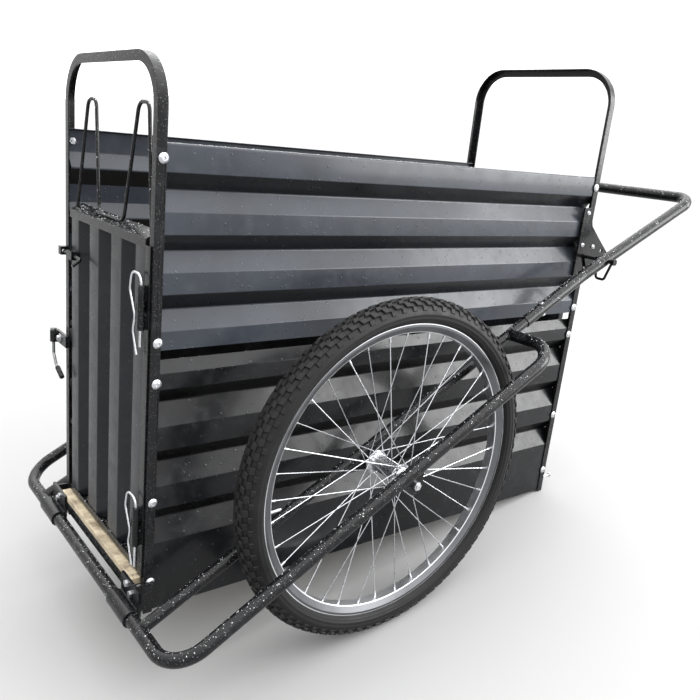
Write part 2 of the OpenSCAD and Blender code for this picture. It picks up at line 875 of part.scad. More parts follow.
// Bolts of the pivot brackets, of the rear feet and of the two latch brackets
module bracket_bolts() {
    zinc() placed() both_ends() translate([-keeper_t, latch_bolt_y, latch_z]) rotate([0, 90, 0]) {
        cylinder(h = keeper_t, r = bolt_r);
        translate([0, 0, -1.6]) cylinder(h = 1.6, r = 9);
        translate([0, 0, -5.6]) cylinder(h = 4, r = 5.5, $fn = 6);
        translate([0, 0, keeper_t]) cylinder(h = 4, r = 5.5, $fn = 6);
    }
    zinc() placed() for (side = [NEAR, FAR], place = bracket_bolt_places) {
        on_side(side) translate([bracket_x, place[0], place[1]]) rotate([0, 90, 0]) {
            cylinder(h = bracket_t, r = bolt_r);
            translate([0, 0, -4]) cylinder(h = 4, r = 6.5, $fn = 6);
        }
    }
    zinc() placed() at_rear() for (side = [NEAR, FAR]) {
        on_side(side) translate([-foot_bolt_l, half_w - angle_face / 2, foot_bolt_z])
            rotate([0, 90, 0]) {
                cylinder(h = foot_bolt_l, r = bolt_r);
                cylinder(h = 5, r = 5.5, $fn = 6);
            }
    }
}

// ---------- Gates (drawn for the front end) ----------

// Upright rib centred on y: the points of the gate's front line around it
function gate_rib(y) = [[gate_front, y - gate_rib_w / 2], [gate_back, y - gate_rib_w / 2 + rib_slope],
    [gate_back, y + gate_rib_w / 2 - rib_slope], [gate_front, y + gate_rib_w / 2]];
gate_line = concat([[gate_back, -gate_half], [gate_front, -gate_half]],
    [for (k = [-1 : 1], p = gate_rib(k * (gate_land + gate_rib_w))) p],
    [[gate_front, gate_half], [gate_back, gate_half]]);

// Gate sheet: the front line and the same line moved back by the sheet's thickness
module gate_sheet() {
    inset = [for (i = [0 : len(gate_line) - 1])
        let (p = gate_line[i]) i == 0 ? [p.x, p.y + sheet_t]
        : i == 1 ? [p.x + sheet_t, p.y + sheet_t]
        : i == len(gate_line) - 2 ? [p.x + sheet_t, p.y - sheet_t]
        : i == len(gate_line) - 1 ? [p.x, p.y - sheet_t] : [p.x + sheet_t, p.y]];
    count = len(gate_line);
    translate([0, 0, gate_bottom + rail_h - 6])
        linear_extrude(gate_top - cap_h - gate_bottom - rail_h + 16)
            polygon(concat(gate_line, [for (i = [1 : count]) inset[count - i]]));
}

// Outer shape of the cap that closes the gate's top edge
module cap_body() {
    along_y(-gate_half - 2, gate_half + 2) polygon([[gate_front - cap_t, gate_top - cap_h],
        [gate_front - cap_t, gate_top], [gate_clear + cap_t, gate_top + cap_rise],
        [gate_clear + cap_t, gate_top - cap_h]]);
}

module gate_rails() {
    difference() {
        cap_body();
        along_y(-gate_half, gate_half) polygon([[gate_front, gate_top - cap_h - 1],
            [gate_front, gate_top - 1], [gate_clear, gate_top + cap_rise - 4],
            [gate_clear, gate_top - cap_h - 1]]);
    }
    difference() {
        translate([gate_front - cap_t, -gate_half, gate_bottom])
            cube([gate_clear - gate_front + 2 * cap_t, 2 * gate_half, rail_h]);
        translate([gate_front, -gate_half - 1, gate_bottom + cap_t])
            cube([gate_clear - gate_front, 2 * gate_half + 2, rail_h]);
    }
}

// Bent-rod handle in the shape of two tall loops joined along the cap
module gate_handle() {
    loop_mid = 112;
    foot_half = 57;
    crown_half = 19;
    mid_x = gate_front + 10;
    lean = 7;
    foot_z = gate_top + 9;
    crown_z = front_frame_h - angle_face - gate_rod_gap;
    r = gate_rod_d / 2;
    path = [[mid_x, -loop_mid - foot_half, gate_top - 4],
        [mid_x + lean, -loop_mid - crown_half, crown_z],
        [mid_x + lean, -loop_mid + crown_half, crown_z],
        [mid_x, -loop_mid + foot_half, foot_z], [mid_x, loop_mid - foot_half, foot_z],
        [mid_x + lean, loop_mid - crown_half, crown_z],
        [mid_x + lean, loop_mid + crown_half, crown_z],
        [mid_x, loop_mid + foot_half, gate_top - 4]];
    difference() {
        bent_rod(path, 17, r);
        cap_body();
    }
}

// Knuckle of a hinge with the bore for its pin; top is its upper end
module knuckle(top) {
    translate([hinge_x, hinge_y, top - knuckle_h]) cylinder(h = knuckle_h, r = knuckle_r);
}

module hinge_bore(r) {
    translate([hinge_x, hinge_y, 0]) cylinder(h = front_frame_h, r = r);
}

// Height of the top of the three knuckles of a hinge, counted from above
function knuckle_top(top, i) = top - i * (knuckle_h + knuckle_gap);

// Flat bar on the near post with the fixed knuckles of both hinges
module hinge_strip(tops) {
    difference() {
        union() {
            translate([-strip_t, hinge_y - strip_w + 8, gate_bottom])
                cube([strip_t, strip_w, tops[0] + strip_rise - gate_bottom]);
            for (top = tops, i = [0, 2]) {
                knuckle(knuckle_top(top, i));
                translate([hinge_x, hinge_y - 3, knuckle_top(top, i) - knuckle_h])
                    cube([-hinge_x - strip_t, 6, knuckle_h]);
            }
        }
        hinge_bore(clip_r + running);
    }
}

// Leaves on the gate with the moving knuckle of each hinge
module hinge_leaves(tops) {
    difference() {
        for (top = tops) {
            low = knuckle_top(top, 1) - knuckle_h;
            knuckle(knuckle_top(top, 1));
            translate([leaf_x, hinge_y, low]) cube([leaf_t, 26, knuckle_h]);
            translate([leaf_x, hinge_y + 16, low]) cube([gate_front - leaf_x, 10, knuckle_h]);
        }
        hinge_bore(clip_r);
    }
}

// Spring clip used as a hinge pin: a straight shank, a round eye and a waved arm along the gate
module hinge_pin(top, shank) {
    translate([hinge_x, hinge_y, top]) bent_rod([[0, 0, -shank], [0, 0, 16], [0, 36, 16],
        [0, 43, -14], [0, 21, -52], [0, 28, -77], [0, 12, -113]], clip_bend, clip_r);
}

module hinge_pins(tops) {
    hinge_pin(tops[0], 97);
    hinge_pin(tops[1], 110);
}

// Guide on the gate for its sliding bolt
module bolt_guide() {
    difference() {
        translate([bolt_x - 6, guide_y, bolt_z - 8])
            cube([gate_front - bolt_x + 6, guide_w, 16]);
        bar_y(bolt_x, bolt_z, guide_y - 1, guide_y + guide_w + 1, gate_bolt_r + running);
    }
}

// Sliding bolt with a bent finger end, drawn back out of its keeper
module gate_bolt() {
    tip = half_w - keeper_w - 4;
    finger_y = guide_y - gate_bolt_r - bolt_travel - 3;
    bent_rod([[bolt_x, tip, bolt_z], [bolt_x, finger_y, bolt_z],
        [bolt_x - 16, finger_y, bolt_z - 12]], 6, gate_bolt_r);
}

module bolt_keeper() {
    difference() {
        translate([bolt_x - 6, half_w - keeper_w, bolt_z - 8]) cube([-bolt_x + 6, keeper_w, 16]);
        bar_y(bolt_x, bolt_z, half_w - 20, half_w + 6, gate_bolt_r + running);
    }
}

// Bar on the far post that carries the swinging latch hook
module latch_bracket() {
    eye_y = half_w + latch_reach;
    difference() {
        union() {
            translate([-keeper_t, half_w - angle_face, latch_z - latch_half_h])
                cube([keeper_t, angle_face + latch_reach, 2 * latch_half_h]);
            translate([hook_x, eye_y, latch_z - latch_half_h])
                cylinder(h = 2 * latch_half_h, r = 7);
            translate([hook_x, eye_y - 7, latch_z - latch_half_h])
                cube([-hook_x, 14, 2 * latch_half_h]);
        }
        translate([hook_x, eye_y, latch_z - latch_half_h - 1])
            cylinder(h = 2 * latch_half_h + 2, r = hook_r + running);
        translate([-keeper_t - 1, latch_bolt_y, latch_z]) rotate([0, 90, 0])
            cylinder(h = keeper_t + 2, r = bolt_r);
    }
}

// Hook that turns in the bracket and slants down across the post, with a thick end to hold it by
module latch_hook() {
    y = half_w + latch_reach;
    collar_z = latch_z + latch_half_h + 0.3;
    knee = [hook_x, y - 16, latch_z - 56];
    tip = [hook_x, half_w - 12, latch_z - 72];
    bent_rod([[hook_x, y, collar_z + hook_collar_h], [hook_x, y, latch_z - 36], knee, tip], 8,
        hook_r);
    translate([hook_x, y, collar_z]) cylinder(h = hook_collar_h, r = 6);
    rod(knee + unit(tip - knee) * 10, tip, hook_sleeve_r);
}

module front_gate() {
    color([0.1, 0.1, 0.11]) placed() gate_sheet();
}

module front_gate_rails() {
    steel_black() placed() gate_rails();
}

module front_gate_handle() {
    steel_black() placed() gate_handle();
}

module front_hinge_leaves() {
    color([0.4, 0.41, 0.42]) placed() hinge_leaves(front_hinge_tops);
}

module front_hinge_pins() {
    zinc() placed() hinge_pins(front_hinge_tops);
}

module front_bolt_guide() {
    steel_black() placed() bolt_guide();
}

module front_gate_bolt() {
    zinc() placed() gate_bolt();
}

module hinge_strips() {
    steel_black() placed() {
        hinge_strip(front_hinge_tops);
        at_rear() hinge_strip(rear_hinge_tops);
    }
}

module rear_gate() {
    color([0.1, 0.1, 0.11]) placed() at_rear() gate_sheet();
}

module rear_gate_rails() {
    steel_black() placed() at_rear() gate_rails();
}

module rear_hinge_leaves() {
    color([0.4, 0.41, 0.42]) placed() at_rear() hinge_leaves(rear_hinge_tops);
}

module rear_hinge_pins() {
    zinc() placed() at_rear() hinge_pins(rear_hinge_tops);
}

module rear_bolt_guide() {
    steel_black() placed() at_rear() bolt_guide();
}

module rear_gate_bolt() {
    zinc() placed() at_rear() gate_bolt();
}

module bolt_keepers() {
    steel_black() placed() both_ends() bolt_keeper();
}

module latch_brackets() {
    steel_black() placed() both_ends() latch_bracket();
}

module front_latch_hook() {
    zinc() placed() latch_hook();
}

module rear_latch_hook() {
    zinc() placed() at_rear() latch_hook();
}

// ---------- Lock between box and handle ----------

// Plate on the rear post, with an open-bottomed slot that sits over the lock pin
module gusset(side) {
    steel_black() placed() on_side(side) difference() {
        translate([lock_pin_x, 0, lock_pin_z]) along_y(half_w, half_w + gusset_t) difference() {
            polygon(gusset_line);
            translate(gusset_hole) circle(gusset_hole_r);
            for (place = gusset_bolt_places) {
                translate(place) circle(bolt_r);
            }
        }
        on_slope() translate([lock_pin_at - lock_pin_r - slot_arc, half_w - 1, -80])
            cube([2 * lock_pin_r + slot_arc + pass_gap, gusset_t + 2, 80]);
        on_slope() bar_y(lock_pin_at, 0, half_w - 1, half_w + gusset_t + 1, lock_pin_r + pass_gap);
    }
}

module gusset_near() {
    gusset(NEAR);
}

module gusset_far() {
    gusset(FAR);
}

module gusset_bolts() {
    zinc() placed() for (side = [NEAR, FAR], place = gusset_bolt_places) {
        on_side(side) translate([lock_pin_x, half_w, lock_pin_z]) {
            bar_y(place[0], place[1], 0, gusset_t, bolt_r);
            bolt_head(place[0], gusset_t, place[1], gusset_head_r);
        }
    }
}

// Pin through the handle leg; its inner end carries the box at the gusset's slot
module lock_pin(side) {
    zinc() placed() on_side(side) on_slope() {
        bar_y(lock_pin_at, 0, half_w + 1, lock_pin_end, lock_pin_r);
        bar_y(lock_pin_at, 0, lock_pin_end, lock_pin_end + 3, lock_pin_r + 3);
    }
}

// Wire bow that hangs from the lock pin and reaches round under the handle tube
module pin_bow(side) {
    y_out = lock_pin_end - 4;
    y_in = lock_pin_y - handle_r - 6;
    zinc() placed() on_side(side) translate([lock_pin_x, 0, lock_pin_z]) rotate([0, -tilt, 0])
        difference() {
        union() {
            bent_rod([[0, y_out, 0], [0, y_out - bow_lean, -bow_drop], [0, y_in, -bow_drop],
                [0, y_in, 0]], 7, bow_r);
            for (y = [y_in, y_out]) {
                bar_y(0, 0, y - 2.5, y + 2.5, lock_pin_r + 3);
            }
        }
        bar_y(0, 0, y_in - 5, y_out + 5, lock_pin_r + running);
    }
}

module lock_pin_near() {
    lock_pin(NEAR);
}

module lock_pin_far() {
    lock_pin(FAR);
}

module pin_bow_near() {
    pin_bow(NEAR);
}

module pin_bow_far() {
    pin_bow(FAR);
}

outer_loop();
inner_tube_near();
inner_tube_far();
handle();
handle_bolts();
axle_plates_near();
axle_plates_far();
axles();
axle_nuts();
hub_near();
rim_near();
spokes_near();
nipples_near();
tyre_near();
valve_near();
hub_far();
rim_far();
spokes_far();
nipples_far();
tyre_far();
valve_far();
front_frame();
rear_frame();
upper_panel_near();
upper_panel_far();
lower_panel_near();
lower_panel_far();
floor_board();
floor_end_lips();
floor_side_angles();
pivot_sleeves();
pivot_brackets();
bracket_bolts();
panel_bolts();
panel_nuts();
hinge_strips();
gusset_near();
gusset_far();
gusset_bolts();
latch_brackets();
bolt_keepers();
front_gate();
front_gate_rails();
front_gate_handle();
front_hinge_leaves();
front_hinge_pins();
front_bolt_guide();
front_gate_bolt();
rear_gate();
rear_gate_rails();
rear_hinge_leaves();
rear_hinge_pins();
rear_bolt_guide();
rear_gate_bolt();
front_latch_hook();
rear_latch_hook();
lock_pin_near();
lock_pin_far();
pin_bow_near();
pin_bow_far();
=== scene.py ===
"""Looks of a two-wheeled garden cart, built round its packed construction model."""

import json
import math
import random

import bmesh
import bpy
from mathutils import Matrix, Vector


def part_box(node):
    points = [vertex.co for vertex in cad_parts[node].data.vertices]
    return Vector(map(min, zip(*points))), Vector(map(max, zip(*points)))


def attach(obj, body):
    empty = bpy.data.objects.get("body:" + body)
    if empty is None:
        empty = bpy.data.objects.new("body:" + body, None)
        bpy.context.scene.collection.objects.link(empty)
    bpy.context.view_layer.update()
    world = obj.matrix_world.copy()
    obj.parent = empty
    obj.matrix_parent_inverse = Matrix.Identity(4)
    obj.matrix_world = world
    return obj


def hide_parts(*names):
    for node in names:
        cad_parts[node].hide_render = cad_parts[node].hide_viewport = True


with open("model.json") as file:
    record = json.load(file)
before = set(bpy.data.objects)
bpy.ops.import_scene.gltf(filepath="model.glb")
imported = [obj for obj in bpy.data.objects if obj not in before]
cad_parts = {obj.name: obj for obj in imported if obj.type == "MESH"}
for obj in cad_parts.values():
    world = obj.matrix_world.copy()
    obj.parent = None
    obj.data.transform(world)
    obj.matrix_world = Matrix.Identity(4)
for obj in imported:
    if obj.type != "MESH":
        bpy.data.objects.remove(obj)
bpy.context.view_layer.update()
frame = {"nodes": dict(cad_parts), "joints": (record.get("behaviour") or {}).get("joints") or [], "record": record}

bl_info = {
    "name": "Garden Cart Finish",
    "version": (1, 0, 0),
    "blender": (4, 5, 0),
    "location": "View3D > Sidebar > Cart",
    "description": "Gives a garden cart its sheet panels, tyres, welds, bolts and finishes",
    "category": "Object",
}

MM = 0.001
NODES = frame["nodes"]
JOINTS = {j["name"]: j for j in frame["joints"]}
SIDES = {"near": -1, "far": 1}
ACROSS = Vector((0, 1, 0))


# ---------- The box's and the chassis's own frames ----------


def box_frame():
    """Matrix from the box's frame (x along the floor, z up the posts) to the ground's."""
    up = Vector(JOINTS["front_gate_swing"]["axis"]).normalized()
    turn = Matrix((ACROSS.cross(up), ACROSS, up)).transposed()
    local = [turn.transposed() @ v.co for v in NODES["front_frame"].data.vertices]
    corner = Vector((min(p.x for p in local), 0, min(p.z for p in local)))
    return Matrix.Translation(turn @ corner) @ turn.to_4x4()


def slope_frame():
    """Matrix from the chassis plane (x up the slope from the crossbar) to the ground's."""
    pivot = Vector(JOINTS["box_tip"]["pos_m"])
    points = [v.co for v in NODES["inner_tube_near"].data.vertices]
    middle = sum(points, Vector()) / len(points)
    along = Vector((middle.x - pivot.x, 0, middle.z - pivot.z)).normalized()
    turn = Matrix((along, ACROSS, along.cross(ACROSS))).transposed()
    return Matrix.Translation(pivot) @ turn.to_4x4()


def wheel_centre(name):
    """Middle of the near or far wheel."""
    return Vector(JOINTS[name + "_wheel_spin"]["pos_m"])


BOX = box_frame()
SLOPE = slope_frame()
FROM_BOX = BOX.inverted()


# ---------- Mesh helpers ----------

# Points closer than this are one point
SAME_POINT = 1e-6
# Steps in the arc of a fold, and the most of the flat beside it that the arc may use up
FOLD_STEPS = 5
FOLD_REACH = 0.45
# Edges sharper than this are rounded, and this is how much larger faces pull the shading
SOFT_EDGE = math.radians(32)
FACE_PULL = 80
# Weld beads: spacing and sides of the rings, ripple and its turn from ring to ring, unevenness,
# and how much thinner the bead ends
BEAD_STEP = 1.1 * MM
BEAD_SIDES = 8
RIPPLE = 0.16
RIPPLE_TURN = 2.1
UNEVEN = 0.1
BEAD_END = 0.35


def new_piece(name, points, faces, body, material, slot, crease=None, replaces=()):
    """A mesh from points in the ground's frame; it rides on body and may stand for nodes.

    Its shading is smooth, and breaks where two faces meet at more than crease."""
    mesh = bpy.data.meshes.new(name)
    mesh.from_pydata([tuple(p) for p in points], [], faces)
    mesh.validate()
    outward = bmesh.new()
    outward.from_mesh(mesh)
    bmesh.ops.recalc_face_normals(outward, faces=outward.faces)
    outward.to_mesh(mesh)
    outward.free()
    mesh.shade_smooth()
    mesh.materials.append(material)
    piece = bpy.data.objects.new(name, mesh)
    bpy.context.scene.collection.objects.link(piece)
    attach(piece, body)
    if replaces:
        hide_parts(*replaces)
    if crease:
        mesh.set_sharp_from_angle(angle=crease)
    return piece


def angles(count):
    """Evenly spaced angles round a full turn."""
    return [2 * math.pi * k / count for k in range(count)]


def square_to(way):
    """Two directions square to way and to each other."""
    side = way.orthogonal().normalized()
    return side, way.cross(side)


def grid_faces(rows, columns, close_rows=False, close_columns=False):
    """Quads over a grid of points laid out row by row."""
    faces = []
    for i in range(rows if close_rows else rows - 1):
        for k in range(columns if close_columns else columns - 1):
            i2, k2 = (i + 1) % rows, (k + 1) % columns
            faces.append([a * columns + b for a, b in ((i, k), (i, k2), (i2, k2), (i2, k))])
    return faces


def tube_faces(rings, around):
    """Quads over rings of points, with a flat face at each end."""
    ends = [list(range(around)), list(range((rings - 1) * around, rings * around))]
    return grid_faces(rings, around, close_columns=True) + ends


def islands(node):
    """Corner points of each separate solid of a node, as lists of points."""
    mesh = bmesh.new()
    mesh.from_mesh(NODES[node].data)
    bmesh.ops.remove_doubles(mesh, verts=mesh.verts, dist=SAME_POINT)
    seen, found = set(), []
    for first in mesh.verts:
        if first.index in seen:
            continue
        seen.add(first.index)
        queue, points = [first], []
        while queue:
            v = queue.pop()
            points.append(v.co.copy())
            for edge in v.link_edges:
                other = edge.other_vert(v)
                if other.index not in seen:
                    seen.add(other.index)
                    queue.append(other)
        found.append(points)
    mesh.free()
    return found


def soften(names, width):
    """Rounds the edges of nodes and shades them cleanly, with their meshes left as they are."""
    for name in names:
        piece = NODES[name]
        weld = piece.modifiers.new("join", "WELD")
        weld.merge_threshold = SAME_POINT
        bevel = piece.modifiers.new("edge", "BEVEL")
        bevel.limit_method = "ANGLE"
        bevel.angle_limit = SOFT_EDGE
        bevel.width = width
        bevel.segments = 2
        shade = piece.modifiers.new("shade", "WEIGHTED_NORMAL")
        shade.weight = FACE_PULL


def paint(names, material):
    """Gives nodes a material in place of their own."""
    for name in names:
        NODES[name].data.materials.clear()
        NODES[name].data.materials.append(material)


def nodes_of(slot):
    """Names of the nodes that the record puts in a material slot."""
    return [s["node"] for s in frame["record"]["subparts"] if s["material_slot"] == slot]


def rounded(line, radius):
    """The open polyline with an arc of radius at each inner corner."""
    out = [line[0]]
    for a, b, c in zip(line, line[1:], line[2:]):
        back, ahead = (a - b).normalized(), (c - b).normalized()
        half = back.angle(ahead) / 2
        cut = min(radius / math.tan(half), (a - b).length * FOLD_REACH,
                  (c - b).length * FOLD_REACH)
        start, end = b + back * cut, b + ahead * cut
        for k in range(FOLD_STEPS + 1):
            t = k / FOLD_STEPS
            out.append(start * (1 - t) ** 2 + b * 2 * t * (1 - t) + end * t * t)
    out.append(line[-1])
    return out


def thick(line, sheet):
    """Closed outline of a sheet whose face is line; the thickness lies to the left of it."""
    normals = []
    for i in range(len(line)):
        way = line[min(i + 1, len(line) - 1)] - line[max(i - 1, 0)]
        normals.append(Vector((-way.y, way.x)).normalized())
    back = [p + n * sheet for p, n in zip(line, normals)]
    return line + back[::-1]


def swept(outline, low, high, parts, place):
    """Points and faces of a sheet's closed outline carried from low to high, with its ends."""
    stations = [low + (high - low) * k / parts for k in range(parts + 1)]
    points = [place(p, s) for s in stations for p in outline]
    count = len(outline)
    faces = grid_faces(len(stations), count, close_columns=True)
    for base in (0, parts * count):
        for k in range(count // 2 - 1):
            faces.append([base + k, base + k + 1, base + count - 2 - k, base + count - 1 - k])
    return points, faces


def lathe(profile, centre, way, around):
    """Points and faces of a turned shape from its (place along way, radius) pairs.

    A radius may be a function of the angle."""
    side, other = square_to(way)
    points = [centre + way * along + (side * math.cos(a) + other * math.sin(a))
              * (radius(a) if callable(radius) else radius)
              for along, radius in profile for a in angles(around)]
    return points, tube_faces(len(profile), around)


def bead(path, radius, seed, closed=False):
    """Points and faces of a weld bead along path, with the ripples a welder leaves."""
    chance = random.Random(seed)
    dense = []
    for a, b in zip(path, path[1:] + (path[:1] if closed else [])):
        parts = max(1, round((b - a).length / BEAD_STEP))
        dense += [a.lerp(b, k / parts) for k in range(parts)]
    if not closed:
        dense.append(path[-1])
    count = len(dense)
    points = []
    for i, p in enumerate(dense):
        ahead = dense[(i + 1) % count] if closed else dense[min(i + 1, count - 1)]
        behind = dense[i - 1] if closed else dense[max(i - 1, 0)]
        side, other = square_to((ahead - behind).normalized())
        swell = radius * (1 + RIPPLE * math.sin(i * RIPPLE_TURN) + chance.uniform(-UNEVEN, UNEVEN))
        if not closed and i in (0, count - 1):
            swell *= BEAD_END
        points += [p + (side * math.cos(a) + other * math.sin(a)) * swell
                   for a in angles(BEAD_SIDES)]
    if closed:
        return points, grid_faces(count, BEAD_SIDES, close_rows=True, close_columns=True)
    return points, tube_faces(count, BEAD_SIDES)


def joined(parts):
    """Several (points, faces) pairs as one."""
    points, faces = [], []
    for more, these in parts:
        start = len(points)
        points += more
        faces += [[start + i for i in face] for face in these]
    return points, faces


# ---------- Finishes ----------


def tint(colour, *shares):
    """The colour times one share, or times one share for each channel, as a shader takes it."""
    return tuple(c * share for c, share in zip(colour, shares * 3)) + (1,)


class Shading:
    """A node tree under construction: makes nodes and joins them up."""

    def __init__(self, tree):
        self.tree = tree

    def feed(self, socket, value):
        """Links the socket to another node's, or sets it to a plain value."""
        if isinstance(value, bpy.types.NodeSocket):
            self.tree.links.new(value, socket)
        else:
            socket.default_value = value

    def node(self, kind, inputs=None, **settings):
        """A new node with these settings, and its inputs fed."""
        made = self.tree.nodes.new(kind)
        for key, value in settings.items():
            setattr(made, key, value)
        for key, value in (inputs or {}).items():
            self.feed(made.inputs[key], value)
        return made

    def span(self, value, low, high, to_low, to_high, **settings):
        """The value carried from the range low to high to another one, and held at its ends."""
        made = self.node("ShaderNodeMapRange", {"Value": value, "From Min": low, "From Max": high,
                         "To Min": to_low, "To Max": to_high}, **settings)
        return made.outputs["Result"]

    def math(self, operation, a, b=0.0):
        return self.node("ShaderNodeMath", {0: a, 1: b}, operation=operation).outputs[0]

    def times(self, a, b):
        return self.math("MULTIPLY", a, b)


class Finish(Shading):
    """A material under construction, with the patterns that the cart's finishes share."""

    def __init__(self, name):
        self.material = bpy.data.materials.new(name)
        self.material.use_nodes = True
        super().__init__(self.material.node_tree)
        self.shader = self.tree.nodes["Principled BSDF"]
        self.place = self.node("ShaderNodeTexCoord").outputs["Object"]

    def put(self, **values):
        """Feeds the shader's sockets; an underscore stands for a blank."""
        for key, value in values.items():
            self.feed(self.shader.inputs[key.replace("_", " ")], value)

    def noise(self, scale, detail, rough=0.5, place=None):
        made = self.node("ShaderNodeTexNoise", {"Vector": place or self.place, "Scale": scale,
                         "Detail": detail, "Roughness": rough})
        return made.outputs["Fac"]

    def mix(self, factor, a, b):
        return self.node("ShaderNodeMix", {0: factor, 6: a, 7: b}, data_type="RGBA").outputs[2]

    def bump(self, height, distance, under=None):
        inputs = {"Height": height, "Distance": distance}
        if under is not None:
            inputs["Normal"] = under
        return self.node("ShaderNodeBump", inputs).outputs["Normal"]

    def cells(self, scale):
        """A pattern of cells: its node, and the random colour of each cell in channels."""
        made = self.node("ShaderNodeTexVoronoi", {"Vector": self.place, "Scale": scale})
        return made, self.node("ShaderNodeSeparateColor", {"Color": made.outputs["Color"]}).outputs

    def drops(self, cell, share):
        """Height of beads of water: one in each cell of the given size, in a share of the cells."""
        made, pick = self.cells(1 / cell)
        there = self.math("LESS_THAN", pick["Red"], share)
        size = self.span(pick["Green"], 0, 1, 0.18, 0.42)
        fall = self.math("DIVIDE", made.outputs["Distance"], size)
        dome = self.math("SUBTRACT", 1.0, self.times(fall, fall))
        return self.times(self.math("SQRT", self.math("MAXIMUM", dome, 0.0)), there)

    def from_axle(self):
        """Distances from the axle's line and, across the cart, from the near wheel's middle."""
        back = tuple(-c for c in wheel_centre("near"))
        offset = self.node("ShaderNodeVectorMath", {0: self.place, 1: back},
                           operation="ADD").outputs[0]
        flat = self.node("ShaderNodeVectorMath", {0: offset, 1: (1, 0, 1)},
                         operation="MULTIPLY").outputs[0]
        away = self.node("ShaderNodeVectorMath", {0: flat}, operation="LENGTH").outputs["Value"]
        return away, self.node("ShaderNodeSeparateXYZ", {"Vector": offset}).outputs["Y"]


# What the two kinds of paint differ in: scale and depth of the orange peel and of the waves under
# it, the share of places that hold a bead, and the strength of the painted highlight on the beads
TUBE_COAT = {"peel": (1100, 0.00004), "wave": (9, 0.0004), "drop_share": 0.6, "bead_highlight": 0.8}
SHEET_COAT = {"peel": (900, 0.00003), "wave": (4.5, 0.001), "drop_share": 0.14, "bead_highlight": 0.3}
# Shares of the paint's colour: on faces that look down, as painted shade, and on the rest from clean to filmed
UNDERSIDE_SHADE = 0.15
CLEAN, FILMED = 0.8, 1.2
# What dried dust adds to the paint, bare flecks, and the painted highlight of water beads
DUST = (0.022, 0.023, 0.025)
FLECK = (0.035, 0.035, 0.036, 1)
BEAD_HIGHLIGHT = (0.1, 0.103, 0.108, 1)

# Metals: dull spots, and the polished lips of a rim with the radii that they run at
SPOT = (0.2, 0.19, 0.18, 1)
POLISHED = (0.75, 0.76, 0.78, 1)
LIP_RADII = (0.2682, 0.2851)
# Rubber: radii between which the side wall turns into tread, and the worn tread's colour
TREAD_FROM, TREAD_FULL = 0.309, 0.323
WORN = (0.016, 0.016, 0.0165, 1)
# Colour of soaked plywood
SOAKED = (0.12, 0.092, 0.062, 1)


def coat_finish(name, colour, rough, gloss, drop_cell, peel, wave, drop_share, bead_highlight):
    """Wet black paint: orange peel, slow waves in what lies under it, dried marks and beads.

    Faces that look down are painted far darker, as painted shade, and stay free of the grey film that dries on the
    rest; the beads carry a painted highlight."""
    f = Finish(name)
    facing = f.node("ShaderNodeTexCoord").outputs["Normal"]
    lift = f.node("ShaderNodeSeparateXYZ", {"Vector": facing}).outputs["Z"]
    # Faces that look up hold the dust; faces that look down get the painted shade below
    upward_lit_and_dusty = f.span(lift, -0.5, -0.1, 0, 1)

    film = f.span(f.noise(7, 3), 0.35, 0.65, 0, 1)
    # Painted shade: faces that look down keep only a small share of the paint's colour
    shaded_paint_colour = f.mix(upward_lit_and_dusty, tint(colour, UNDERSIDE_SHADE),
                         f.mix(film, tint(colour, CLEAN), tint(colour, FILMED)))
    marks = f.noise(38, 5, 0.62)
    dust = f.span(marks, 0.52, 0.74, 0, 1)
    dusty_and_shaded = f.mix(f.times(f.times(dust, 0.25), upward_lit_and_dusty), shaded_paint_colour,
                  tuple(d + c for d, c in zip(DUST, colour)) + (1,))
    scratch = f.node("ShaderNodeTexNoise", {"Vector": f.place, "Scale": 260.0, "Detail": 2.0,
                     "Distortion": 2.2})
    fleck = f.span(scratch.outputs["Fac"], 0.74, 0.78, 0, 1)
    chipped_and_shaded = f.mix(f.times(fleck, 0.4), dusty_and_shaded, FLECK)
    beads = f.drops(drop_cell, drop_share)
    # Painted highlight: beads lighter at their tops, and more so on faces that look up
    bead_highlight_mask = f.times(f.math("POWER", beads, 2.0), f.span(lift, -0.3, 0.6, bead_highlight * 0.15, bead_highlight))

    dry = f.math("ADD", f.span(marks, 0.3, 0.7, rough * 0.8, rough * 1.25),
                 f.times(dust, 0.06))
    slow = f.bump(f.noise(wave[0], 2), wave[1])
    fine = f.bump(f.noise(peel[0], 2), peel[1], under=slow)
    f.put(Base_Color=f.mix(bead_highlight_mask, chipped_and_shaded, BEAD_HIGHLIGHT),
          Roughness=f.math("SUBTRACT", dry, f.times(beads, rough * 0.7)),
          Specular_IOR_Level=gloss, Coat_Weight=0.12, Coat_Roughness=0.12,
          Normal=f.bump(beads, 0.0006, under=fine))
    return f.material


def metal_finish(name, colour, rough, bright=0.16, grain=1400, dull=0.2):
    """Plated metal: spangle, fine grain and a few dull spots."""
    f = Finish(name)
    tone = f.cells(420.0)[1]["Red"]
    plain = f.mix(tone, tint(colour, 1 - bright), tint(colour, 1 + bright * 0.5))
    spot = f.span(f.noise(75, 4, 0.6), 0.56, 0.72, 0, 1)
    f.put(Metallic=1.0, Base_Color=f.mix(f.times(spot, dull), plain, SPOT),
          Roughness=f.math("ADD", f.span(f.noise(160, 3), 0.3, 0.7, rough * 0.75, rough * 1.3),
                           f.times(spot, 0.12)),
          Normal=f.bump(f.noise(grain, 2), 0.00006))
    return f.material


